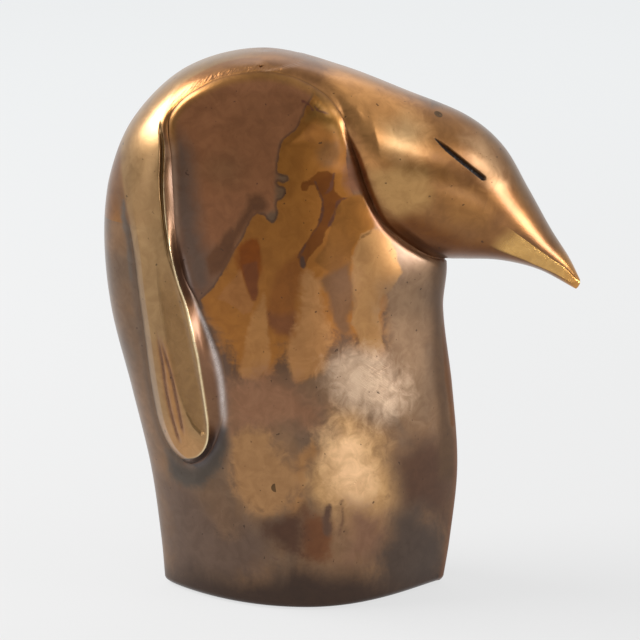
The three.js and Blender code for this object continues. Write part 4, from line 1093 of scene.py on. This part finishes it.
def patina_layers(points):
    x, y, z = points[:, 0], points[:, 1], points[:, 2]
    sx, sz = wandered(x, y, z)
    layers = {}
    for name, outline, _, soft, *_ in STAINS:
        distance = outline_distance(outline, sx, sz)
        if name == "gold":
            soft = mix(soft, GOLD_FADE, smoothstep(92, 80, sz))
        layers[name] = np.clip(distance, -STAIN_REACH, STAIN_REACH) / soft
    for name, knots, half_width_mm, _, soft, *_ in STREAKS:
        distance, _ = line_distance(smooth_curve(np.array(knots, float), 4), sx, sz)
        layers[name] = np.clip(half_width_mm - np.abs(distance), -STAIN_REACH, STAIN_REACH) / soft
    front, (width, *_) = line_distance(seam_path, x, z)
    rear, (_, _, _, _, hold, *_) = line_distance(rear_path, x, z)
    throat = smoothstep(10, 15, x)
    arch = smoothstep(ARCH_FOOT, ARCH_TOP, z) * (1 - throat)
    paddle = smoothstep(HEM_HEIGHT + 2, HEM_HEIGHT - 10, z)
    strip = smoothstep(HEM_HEIGHT + 28, HEM_HEIGHT + 22, z) * (x < CROWN_X)
    # Painted shade on the steep wall of the front edge and on the flipper's sloped side face
    wall = smoothstep(0.1, 0.5, front) * smoothstep(width - 0.1, width - 0.6, front) * strip
    layers["wall"] = wall * (1 - paddle)
    layers["side_face_painted_shade"] = wall * paddle
    layers["red_edge"] = strip * hump(front + 0.5, 0.8) * smoothstep(HEM_HEIGHT - 6, HEM_HEIGHT, z)
    # Painted highlight along the polished front rim
    layers["rim"] = strip * hump(front - width - 0.12, 0.28) * smoothstep(42, 50, z)
    layers["ochre_rim"] = arch * smoothstep(-3.2, -1.0, front) * (front < 0.4)
    layers["foot_shade"] = paddle * hump(front + 0.2, 1.3) * (x < 0) * (0.25 + 0.75 * smoothstep(58, 48, z))
    # Painted highlight along the foot of the flipper's front edge
    highlight_distance = line_distance(foot_line, x, z)[0]
    lit = smoothstep(52, 60, z) * smoothstep(92, 84, z)
    lit = lit + 0.3 * smoothstep(84, 92, z) * smoothstep(108, 98, z)
    layers["foot_painted_highlight"] = hump(highlight_distance, mix(0.9, 0.55, smoothstep(70, 86, z))) * lit * (x < -10)
    layers["rear_shade"] = hold * hump(rear + 1.0, 1.3)
    layers["band"] = (
        smoothstep(width - 0.2, width + 0.4, front)
        * smoothstep(-0.4, 1.0, rear)
        * (1 - smoothstep(CROWN_X - 14, CROWN_X + 6, x))
    )
    layers["tip_gold"] = layers["band"] * smoothstep(54, 47, z + 0.35 * (x + 30))
    foot = paddle * (0.15 + 0.6 * smoothstep(56, 48, z))
    # Painted shade darkening the crease along the seam, the arch and the flipper's foot
    layers["crease"] = hump(front, 0.3) * (arch * 0.8 + throat + foot)
    # Painted shade in the crease along the flipper's rear edge
    layers["rear_crease"] = hold * hump(rear, 0.3) * 0.6
    by_hem = smoothstep(HEM_HEIGHT - 10, HEM_HEIGHT + 4, z)
    layers["grained"] = strip * hump(front - width - 0.5, 0.26) * by_hem
    layers["groove"] = groove_marks(x, z) * (np.abs(y) > 5)
    layers["between"] = smoothstep(82, 74, z) * hump(x - flute_middle(z), 2.4) * layers["band"]
    layers["hollow"] = hollow_mark(x, z)
    layers["hatch"] = hump(front - 0.9, 0.7) * arch * smoothstep(142, 148, z) * (x < CROWN_X + 6)
    layers["keel"] = smoothstep(2.6, 0.6, np.abs(y)) * smoothstep(20, 30, x) * (z < THROAT_HEIGHT + 6)
    layers["polish"] = smoothstep(72, 80, x)
    return layers


# Painted highlight along the foot of the flipper
foot_line = smooth_curve(
    np.array(
        [
            [-34.6, 108], [-33.4, 101.2], [-32.2, 96.4], [-31.0, 92.0], [-29.5, 88.2], [-27.7, 83.6],
            [-26.1, 79.0], [-24.8, 74.3], [-23.9, 69.7], [-23.3, 65.1], [-23.0, 60.5], [-22.8, 57],
            [-22.9, 50],
        ]
    ),
    4,
)
flute_middle = profile([[40, -34], [50, -35.4], [60, -37.6], [70, -39], [80, -40.5], [90, -41.5]])


# Materials
GAIN = 1.25


def linear(colour, gain=1.0):
    """A colour as it looks on a screen, 0 to 255, as scene-linear values."""
    values = []
    for value in colour:
        share = value / 255
        values.append(share / 12.92 if share <= 0.04045 else ((share + 0.055) / 1.055) ** 2.4)
    gain = min(gain, 0.96 / max(values))
    return tuple(value * gain for value in values)


def node_tree(name):
    material = bpy.data.materials.new(name)
    material.use_nodes = True
    tree = material.node_tree
    tree.nodes.clear()
    output = tree.nodes.new("ShaderNodeOutputMaterial")
    shader = tree.nodes.new("ShaderNodeBsdfPrincipled")
    tree.links.new(shader.outputs["BSDF"], output.inputs["Surface"])
    return material, tree, shader


def object_noise(tree, cell, detail, roughness, distortion=0.0, stretch=(1, 1, 1), turn=0.0):
    """Noise whose cells have the given size in metres, stretched along axes turned about y by degrees."""
    coordinates = tree.nodes.new("ShaderNodeTexCoord")
    mapping = tree.nodes.new("ShaderNodeMapping")
    mapping.vector_type = "TEXTURE"
    mapping.inputs["Scale"].default_value = [cell * share for share in stretch]
    mapping.inputs["Rotation"].default_value = (0, math.radians(turn), 0)
    noise = tree.nodes.new("ShaderNodeTexNoise")
    noise.inputs["Scale"].default_value = 1.0
    noise.inputs["Detail"].default_value = detail
    noise.inputs["Roughness"].default_value = roughness
    noise.inputs["Distortion"].default_value = distortion
    tree.links.new(coordinates.outputs["Object"], mapping.inputs["Vector"])
    tree.links.new(mapping.outputs["Vector"], noise.inputs["Vector"])
    return noise.outputs["Fac"]


def limits(tree, value, low, high, to_low=0.0, to_high=1.0):
    node = tree.nodes.new("ShaderNodeMapRange")
    node.interpolation_type = "SMOOTHSTEP"
    node.inputs["From Min"].default_value = low
    node.inputs["From Max"].default_value = high
    node.inputs["To Min"].default_value = to_low
    node.inputs["To Max"].default_value = to_high
    tree.links.new(value, node.inputs["Value"])
    return node.outputs["Result"]


def blend_colour(tree, share, a, b, way="MIX"):
    node = tree.nodes.new("ShaderNodeMix")
    node.data_type = "RGBA"
    node.blend_type = way
    if isinstance(share, float):
        node.inputs["Factor"].default_value = share
    else:
        tree.links.new(share, node.inputs["Factor"])
    for value, socket in ((a, node.inputs[6]), (b, node.inputs[7])):
        if isinstance(value, tuple):
            socket.default_value = (*value, 1)
        else:
            tree.links.new(value, socket)
    return node.outputs[2]


def maths(tree, operation, *values):
    node = tree.nodes.new("ShaderNodeMath")
    node.operation = operation
    for value, socket in zip(values, node.inputs):
        if isinstance(value, (int, float)):
            socket.default_value = value
        else:
            tree.links.new(value, socket)
    return node.outputs[0]


def layer(tree, name):
    node = tree.nodes.new("ShaderNodeAttribute")
    node.attribute_name = name
    return node.outputs["Fac"]


def bump(tree, height, distance, strength, before=None):
    node = tree.nodes.new("ShaderNodeBump")
    node.inputs["Strength"].default_value = strength
    node.inputs["Distance"].default_value = distance
    tree.links.new(height, node.inputs["Height"])
    if before is not None:
        tree.links.new(before, node.inputs["Normal"])
    return node.outputs["Normal"]


# Worked places, and places with painted shade and painted highlights: layer, colour as it looks, strength,
# how metallic, how rough
WASHES = [
    ("band", (145, 114, 76), 0.9, 1, 0.31),
    ("between", (168, 112, 60), 0.5, 1, 0.33),
    ("tip_gold", (171, 129, 84), 0.8, 1, 0.3),
    # painted shade on the edge's steep wall, and lower down on the flipper's sloped side face
    ("wall", (84, 59, 38), 0.85, 1, 0.3),
    ("side_face_painted_shade", (103, 71, 50), 0.85, 0.95, 0.34),
    ("red_edge", (162, 131, 107), 0.6, 0.8, 0.36),
    ("ochre_rim", (142, 98, 45), 0.7, 1, 0.33),
    ("foot_shade", (78, 70, 70), 0.85, 0.7, 0.32),
    # painted highlight along the flipper's foot
    ("foot_painted_highlight", (195, 183, 178), 0.8, 0.9, 0.24),
    ("rear_shade", (87, 70, 57), 0.75, 0.7, 0.34),
    ("keel", (124, 80, 52), 0.5, 0.95, 0.34),
    ("hollow", (131, 98, 59), 0.9, 1, 0.42),
    ("groove", (118, 84, 66), 0.85, 0.8, 0.5),
    ("grained", (84, 60, 32), 0.45, 0.9, 0.45),
    # painted shade in the crease
    ("crease", (101, 62, 29), 0.8, 0.7, 0.5),
    # painted shade in the crease behind the flipper
    ("rear_crease", (72, 62, 56), 0.6, 0.8, 0.45),
    # painted highlight on the polished rim
    ("rim", (255, 234, 190), 0.95, 1, 0.2),
    ("flat", (206, 162, 94), 0.85, 1, 0.24),
    ("polish", (197, 142, 73), 0.75, 1, 0.2),
    # painted shade along the mouth line and the facet's lower edge
    ("lip", (96, 64, 34), 0.75, 0.9, 0.34),
    # painted shade, near black, inside the eye slit
    ("slit", (30, 20, 14), 0.96, 0.3, 0.6),
]


# Colours of the bronze between the stains
GROUNDS = {
    "bronze_patina": ((104, 82, 64), (126, 95, 68)),
    "bronze_polished": ((119, 80, 46), (140, 96, 53)),
    "bronze_flipper": ((126, 98, 66), (146, 112, 72)),
}


# Noises of the bronze: cell in metres, detail, roughness, distortion, stretch, turn
NOISES = {
    "broad": (0.022, 4, 0.55, 0.6),
    "wide": (0.011, 3, 0.6, 0.8, (1, 1, 1.6)),
    "middle": (0.0042, 5, 0.6, 0.8),
    "fine": (0.0011, 4, 0.6),
    "grain": (0.00035, 3, 0.6),
    "specks": (0.0016, 2, 0.5),
    "scuffs": (0.0004, 3, 0.6, 0, (1, 8, 26), 38),
    "swirls": (0.00035, 3, 0.55, 1.2, (1, 6, 16), -52),
    "hatch": (0.0005, 2, 0.5, 0, (1, 6, 5), 40),
    "groove": (0.0006, 2, 0.7),
    "hollow": (0.0007, 3, 0.7),
    "flat": (0.0009, 4, 0.7, 1.0),
}
# How far each noise moves the stains' edges, in shares of their wandering
DRIFTS = {"wide": 5.0, "middle": 3.0, "fine": 1.2}
# Worked places with a relief of their own: layer, bump distance in metres, strength
RELIEFS = [("hatch", 0.0004, 0.8), ("groove", 0.0005, 0.8), ("hollow", 0.00025, 0.6), ("flat", 0.0003, 0.6)]
WORKED = {name for name, *_ in RELIEFS}
PLAIN_FINISH = (1.0, 0.32, 0.0)
SPECK_COLOUR = (52, 36, 26)
GOLD_EDGE_COLOUR = (70, 44, 30)
CLOUD_COLOUR = (0.62, 0.56, 0.5)
WHITE = (1.0, 1.0, 1.0)


def bronze(name, slot, used):
    """Cast bronze with stains, polished rims, brushed marks and casting pits, and painted highlights and
    painted shade in some places.
    """
    material, tree, shader = node_tree(name)
    noises = {key: object_noise(tree, *NOISES[key]) for key in NOISES if key not in WORKED or key in used}
    middle = noises["middle"]
    drift = None
    for key, amount in DRIFTS.items():
        part = maths(tree, "MULTIPLY_ADD", noises[key], amount, -amount / 2)
        drift = part if drift is None else maths(tree, "ADD", drift, part)
    dull, warm = (linear(tint, GAIN) for tint in GROUNDS[slot])
    colour = blend_colour(tree, limits(tree, noises["broad"], 0.35, 0.65), dull, warm)
    finish = PLAIN_FINISH
    stains = [(n, c, s, w, m, r) for n, _, c, s, w, m, r in STAINS]
    stains += [(n, c, s, w, m, r) for n, _, _, c, s, w, m, r in STREAKS]
    for stain, tint, soft, roam, metal, rough in stains:
        if stain not in used:
            continue
        edge = maths(tree, "MULTIPLY_ADD", drift, roam / soft, layer(tree, stain))
        share = limits(tree, edge, -1.0, 1.0)
        if stain == "gold":
            rim = maths(tree, "MULTIPLY", limits(tree, edge, -3.2, -0.6), limits(tree, edge, 1.2, -0.2))
            rim = maths(tree, "MULTIPLY", rim, 0.55)
            colour = blend_colour(tree, rim, colour, linear(GOLD_EDGE_COLOUR, GAIN))
        colour = blend_colour(tree, share, colour, linear(tint, GAIN))
        finish = blend_colour(tree, share, finish, (metal, rough, 0.0))
    for wash, tint, strength, metal, rough in WASHES:
        if wash not in used:
            continue
        share = maths(tree, "MULTIPLY", layer(tree, wash), strength)
        colour = blend_colour(tree, share, colour, linear(tint, GAIN))
        finish = blend_colour(tree, share, finish, (metal, rough, 0.0))
    cloud = blend_colour(tree, limits(tree, middle, 0.3, 0.7), CLOUD_COLOUR, WHITE)
    colour = blend_colour(tree, 0.5, colour, cloud, "MULTIPLY")
    specks = maths(tree, "MULTIPLY", limits(tree, noises["specks"], 0.71, 0.76), 0.7)
    colour = blend_colour(tree, specks, colour, linear(SPECK_COLOUR))
    parts = tree.nodes.new("ShaderNodeSeparateColor")
    tree.links.new(finish, parts.inputs["Color"])
    tree.links.new(colour, shader.inputs["Base Color"])
    tree.links.new(parts.outputs[0], shader.inputs["Metallic"])
    swirls = noises["swirls"]
    scuffs = maths(tree, "MULTIPLY", noises["scuffs"], 0.5)
    strokes = maths(tree, "ADD", scuffs, maths(tree, "MULTIPLY", swirls, 0.5))
    rough = maths(tree, "ADD", parts.outputs[1], maths(tree, "MULTIPLY_ADD", middle, 0.08, -0.04))
    rough = maths(tree, "ADD", rough, maths(tree, "MULTIPLY_ADD", strokes, 0.16, -0.08))
    tree.links.new(rough, shader.inputs["Roughness"])
    shader.inputs["Coat Weight"].default_value = 0.35
    shader.inputs["Coat Roughness"].default_value = 0.22
    normal = bump(tree, middle, 0.00012, 0.12)
    normal = bump(tree, noises["grain"], 0.00003, 0.35, normal)
    normal = bump(tree, strokes, 0.00005, 0.3, normal)
    # The brushed patch, which also carries a painted highlight, gets swirl marks in its relief
    if "brushed_and_painted_highlight" in used:
        brushed_and_painted_highlight = maths(tree, "MULTIPLY", limits(tree, layer(tree, "brushed_and_painted_highlight"), -1, 1), swirls)
        normal = bump(tree, brushed_and_painted_highlight, 0.00009, 0.5, normal)
    for worked, distance, strength in RELIEFS:
        if worked in used:
            relief = maths(tree, "MULTIPLY", layer(tree, worked), noises[worked])
            normal = bump(tree, relief, distance, strength, normal)
    tree.links.new(normal, shader.inputs["Normal"])
    return material


def plain_metal(name, tint, roughness, lines, coat=0.0):
    """Turned or drawn metal with fine lines and a little staining."""
    material, tree, shader = node_tree(name)
    stain = object_noise(tree, 0.004, 4, 0.6)
    marks = object_noise(tree, 0.0002, 3, 0.6, stretch=lines)
    bright = linear(tint)
    dull = tuple(value * 0.7 for value in bright)
    colour = blend_colour(tree, limits(tree, stain, 0.35, 0.7), bright, dull)
    tree.links.new(colour, shader.inputs["Base Color"])
    shader.inputs["Metallic"].default_value = 1.0
    rough = maths(tree, "MULTIPLY_ADD", marks, 0.2, roughness - 0.1)
    tree.links.new(rough, shader.inputs["Roughness"])
    tree.links.new(bump(tree, marks, 0.00003, 0.5), shader.inputs["Normal"])
    shader.inputs["Coat Weight"].default_value = coat
    return material


def felt():
    material, tree, shader = node_tree("felt")
    fibres = object_noise(tree, 0.0004, 5, 0.75, distortion=2.0)
    clumps = object_noise(tree, 0.003, 3, 0.6)
    light, dark = linear((52, 54, 50)), linear((28, 30, 27))
    colour = blend_colour(tree, limits(tree, fibres, 0.3, 0.7), dark, light)
    colour = blend_colour(tree, limits(tree, clumps, 0.4, 0.7, 0.0, 0.4), colour, dark)
    tree.links.new(colour, shader.inputs["Base Color"])
    shader.inputs["Roughness"].default_value = 0.95
    shader.inputs["Sheen Weight"].default_value = 0.4
    shader.inputs["Sheen Roughness"].default_value = 0.5
    tree.links.new(bump(tree, fibres, 0.0003, 0.7), shader.inputs["Normal"])
    return material


def dress_nodes():
    """Materials for the pieces of the CAD model that stay as they are."""
    steel = plain_metal("steel_turned", (168, 170, 172), 0.3, (1, 1, 0.02))
    pin_bronze = plain_metal("bronze_drawn", (176, 132, 78), 0.34, (1, 1, 6))
    plug_bronze = plain_metal("bronze_plug", (104, 78, 52), 0.4, (1, 1, 1), 0.1)
    plate_bronze = plain_metal("bronze_plate", (112, 84, 56), 0.42, (1, 9, 1))
    wool = felt()
    for name, thing in frame["nodes"].items():
        if name.startswith(("hood_stud", "hood_washer", "hood_nut", "hood_dowel", "base_screw")):
            chosen = steel
        elif name.startswith("flipper_pin"):
            chosen = pin_bronze
        elif name.startswith("core_plug"):
            chosen = plug_bronze
        elif name == "base_plate":
            chosen = plate_bronze
        elif name == "felt_pad":
            chosen = wool
        else:
            continue
        thing.material_slots[0].material = chosen


def add_skin(name, grid_points, faces, ledge, extra, node_names, slot):
    layers = patina_layers(grid_points)
    layers.update(extra)
    used = {key for key, values in layers.items() if np.max(values) > -1.5 and np.ptp(values) > 1e-3}
    layers = {key: values for key, values in layers.items() if key in used}
    material = bronze(slot + "_" + name, slot, used)
    add_piece(name, grid_points, faces, ledge, material, layers, node_names)


def build():
    grid, ledge = body_shape()
    full = both_sides(grid).reshape(-1, 3)
    ledge = both_sides_value(ledge).ravel()
    faces = closed_faces(len(grid), len(full) // len(grid))
    add_skin("body_skin", full, faces, ledge, {}, ["body_shell"], "bronze_patina")
    grid, marks = hood_shape()
    full = both_sides(grid).reshape(-1, 3)
    ledge = np.arange(len(full)) < len(full) // len(grid)
    faces = closed_faces(len(grid), len(full) // len(grid))
    extra = {name: both_sides_value(values).ravel() for name, values in marks.items()}
    add_skin("hood_skin", full, faces, ledge, extra, ["hood_shell"], "bronze_polished")
    outer, inner = flipper_shape()
    ring = np.concatenate([outer, inner], axis=1)
    rings, count = ring.shape[:2]
    faces = closed_faces(rings, count)
    for side, sign in (("left", 1), ("right", -1)):
        points = ring.reshape(-1, 3) * np.array([1, sign, 1])
        turned = [face[::-1] for face in faces] if sign > 0 else faces
        ledge = np.abs(points[:, 2] - HEM_HEIGHT) < 0.01
        add_skin(f"flipper_skin_{side}", points, turned, ledge, {}, [f"flipper_{side}"], "bronze_flipper")
    dress_nodes()


# Photograph's view: 14 degrees above the level, square to the side
CAMERA_ELEVATION = 14
CAMERA_DISTANCE = 1.0
CAMERA_TARGET = (4.761 * MM, 0, 80.195 * MM)
CAMERA_LENS = 192.70
SENSOR_WIDTH = 36


def camera():
    elevation = math.radians(CAMERA_ELEVATION)
    target = Vector(CAMERA_TARGET)
    data = bpy.data.cameras.new("camera")
    data.lens = CAMERA_LENS
    data.sensor_width = SENSOR_WIDTH
    thing = bpy.data.objects.new("camera", data)
    thing.location = target + Vector((0, -math.cos(elevation), math.sin(elevation))) * CAMERA_DISTANCE
    thing.rotation_euler = (target - thing.location).to_track_quat("-Z", "Y").to_euler()
    bpy.context.scene.collection.objects.link(thing)
    bpy.context.scene.camera = thing


def lamp(name, aim, direction, distance, size, radiance):
    """A soft box seen in a direction from a place on the figure in millimetres, and its brightness."""
    data = bpy.data.lights.new(name, "AREA")
    data.shape = "RECTANGLE"
    data.size, data.size_y = size
    data.energy = radiance * math.pi * size[0] * size[1]
    thing = bpy.data.objects.new(name, data)
    target = Vector(aim) * MM
    thing.location = target + Vector(direction).normalized() * distance
    thing.rotation_euler = (target - thing.location).to_track_quat("-Z", "Y").to_euler()
    thing.visible_camera = False
    bpy.context.scene.collection.objects.link(thing)


BACKDROP_TOP = (242, 244, 245)
BACKDROP_LOW = (233, 233, 233)
FLOOR_HALF_SIZE = 3.0
FLOOR_GREY = 0.6
PAPER_SHARE = 0.85
# Lamps: name, place on the figure in millimetres, direction, distance, size, brightness
LAMPS = [
    ("shoulder", (-40, -20, 142), (-0.78, 0.1, 0.62), 0.9, (0.6, 0.5), 17),
    ("cheek", (28, -20, 142), (0.47, -0.76, 0.45), 0.9, (0.24, 0.2), 3.7),
    ("crown", (52, -16, 134), (0.77, -0.42, 0.48), 0.9, (0.28, 0.2), 5),
    ("beak", (68, -8, 106), (0.96, -0.26, 0.09), 0.9, (0.34, 0.16), 20),
    ("top", (0, 0, 150), (0.1, 0.7, 0.7), 0.9, (0.6, 0.3), 0.6),
    ("belly", (20, -24, 40), (0.58, -0.81, -0.01), 0.6, (0.2, 0.1), 2.6),
    ("left", (-50, -14, 90), (-0.93, -0.3, 0.1), 0.9, (0.2, 0.4), 1.2),
]


def seen_rays(tree, mirrored_share=None):
    """1 for rays that see the backdrop: the camera's, those through glass, and those off metal."""
    path = tree.nodes.new("ShaderNodeLightPath")
    mirrored = path.outputs["Is Glossy Ray"]
    if mirrored_share is not None:
        mirrored = maths(tree, "MULTIPLY", mirrored, mirrored_share)
    seen = maths(tree, "MAXIMUM", path.outputs["Is Camera Ray"], path.outputs["Is Transmission Ray"])
    return maths(tree, "MAXIMUM", seen, mirrored)


def world():
    """A pale room, darker on the camera's side, which is white wherever it is seen as the backdrop."""
    room = bpy.data.worlds.new("studio")
    bpy.context.scene.world = room
    room.use_nodes = True
    tree = room.node_tree
    background = tree.nodes["Background"]
    coordinates = tree.nodes.new("ShaderNodeTexCoord")
    split = tree.nodes.new("ShaderNodeSeparateXYZ")
    tree.links.new(coordinates.outputs["Generated"], split.inputs["Vector"])
    behind = limits(tree, split.outputs["Y"], -0.9, 0.5, 0.22, 0.75)
    above = limits(tree, split.outputs["Z"], -0.1, 0.9, 0.0, 0.3)
    light = maths(tree, "ADD", behind, above)
    seen = seen_rays(tree, limits(tree, split.outputs["Y"], 0.3, 1.0))
    missing = maths(tree, "SUBTRACT", 1.0, light)
    strength = maths(tree, "MULTIPLY_ADD", seen, missing, light)
    tree.links.new(strength, background.inputs["Strength"])
    background.inputs["Color"].default_value = (*linear(BACKDROP_TOP), 1)


def floor():
    """Pale paper, which keeps the figure's shadow."""
    mesh = bpy.data.meshes.new("floor")
    size = FLOOR_HALF_SIZE
    corners = [(-size, -size, 0), (size, -size, 0), (size, size, 0), (-size, size, 0)]
    mesh.from_pydata(corners, [], [(0, 1, 2, 3)])
    sheet = bpy.data.objects.new("floor", mesh)
    material, tree, shader = node_tree("floor_paper")
    shader.inputs["Base Color"].default_value = (FLOOR_GREY, FLOOR_GREY, FLOOR_GREY, 1)
    shader.inputs["Roughness"].default_value = 0.9
    shader.inputs["Specular IOR Level"].default_value = 0.1
    coordinates = tree.nodes.new("ShaderNodeTexCoord")
    split = tree.nodes.new("ShaderNodeSeparateXYZ")
    tree.links.new(coordinates.outputs["Object"], split.inputs["Vector"])
    away = limits(tree, split.outputs["Y"], -0.1, 1.0)
    paper = tree.nodes.new("ShaderNodeEmission")
    colour = blend_colour(tree, away, linear(BACKDROP_LOW), linear(BACKDROP_TOP))
    tree.links.new(colour, paper.inputs["Color"])
    share = maths(tree, "MULTIPLY", seen_rays(tree), PAPER_SHARE)
    blend = tree.nodes.new("ShaderNodeMixShader")
    output = next(node for node in tree.nodes if node.type == "OUTPUT_MATERIAL")
    tree.links.new(share, blend.inputs["Fac"])
    tree.links.new(shader.outputs["BSDF"], blend.inputs[1])
    tree.links.new(paper.outputs["Emission"], blend.inputs[2])
    tree.links.new(blend.outputs["Shader"], output.inputs["Surface"])
    mesh.materials.append(material)
    bpy.context.scene.collection.objects.link(sheet)


build()
camera()
world()
for row in LAMPS:
    lamp(*row)
floor()
bpy.context.scene.view_settings.view_transform = "Standard"
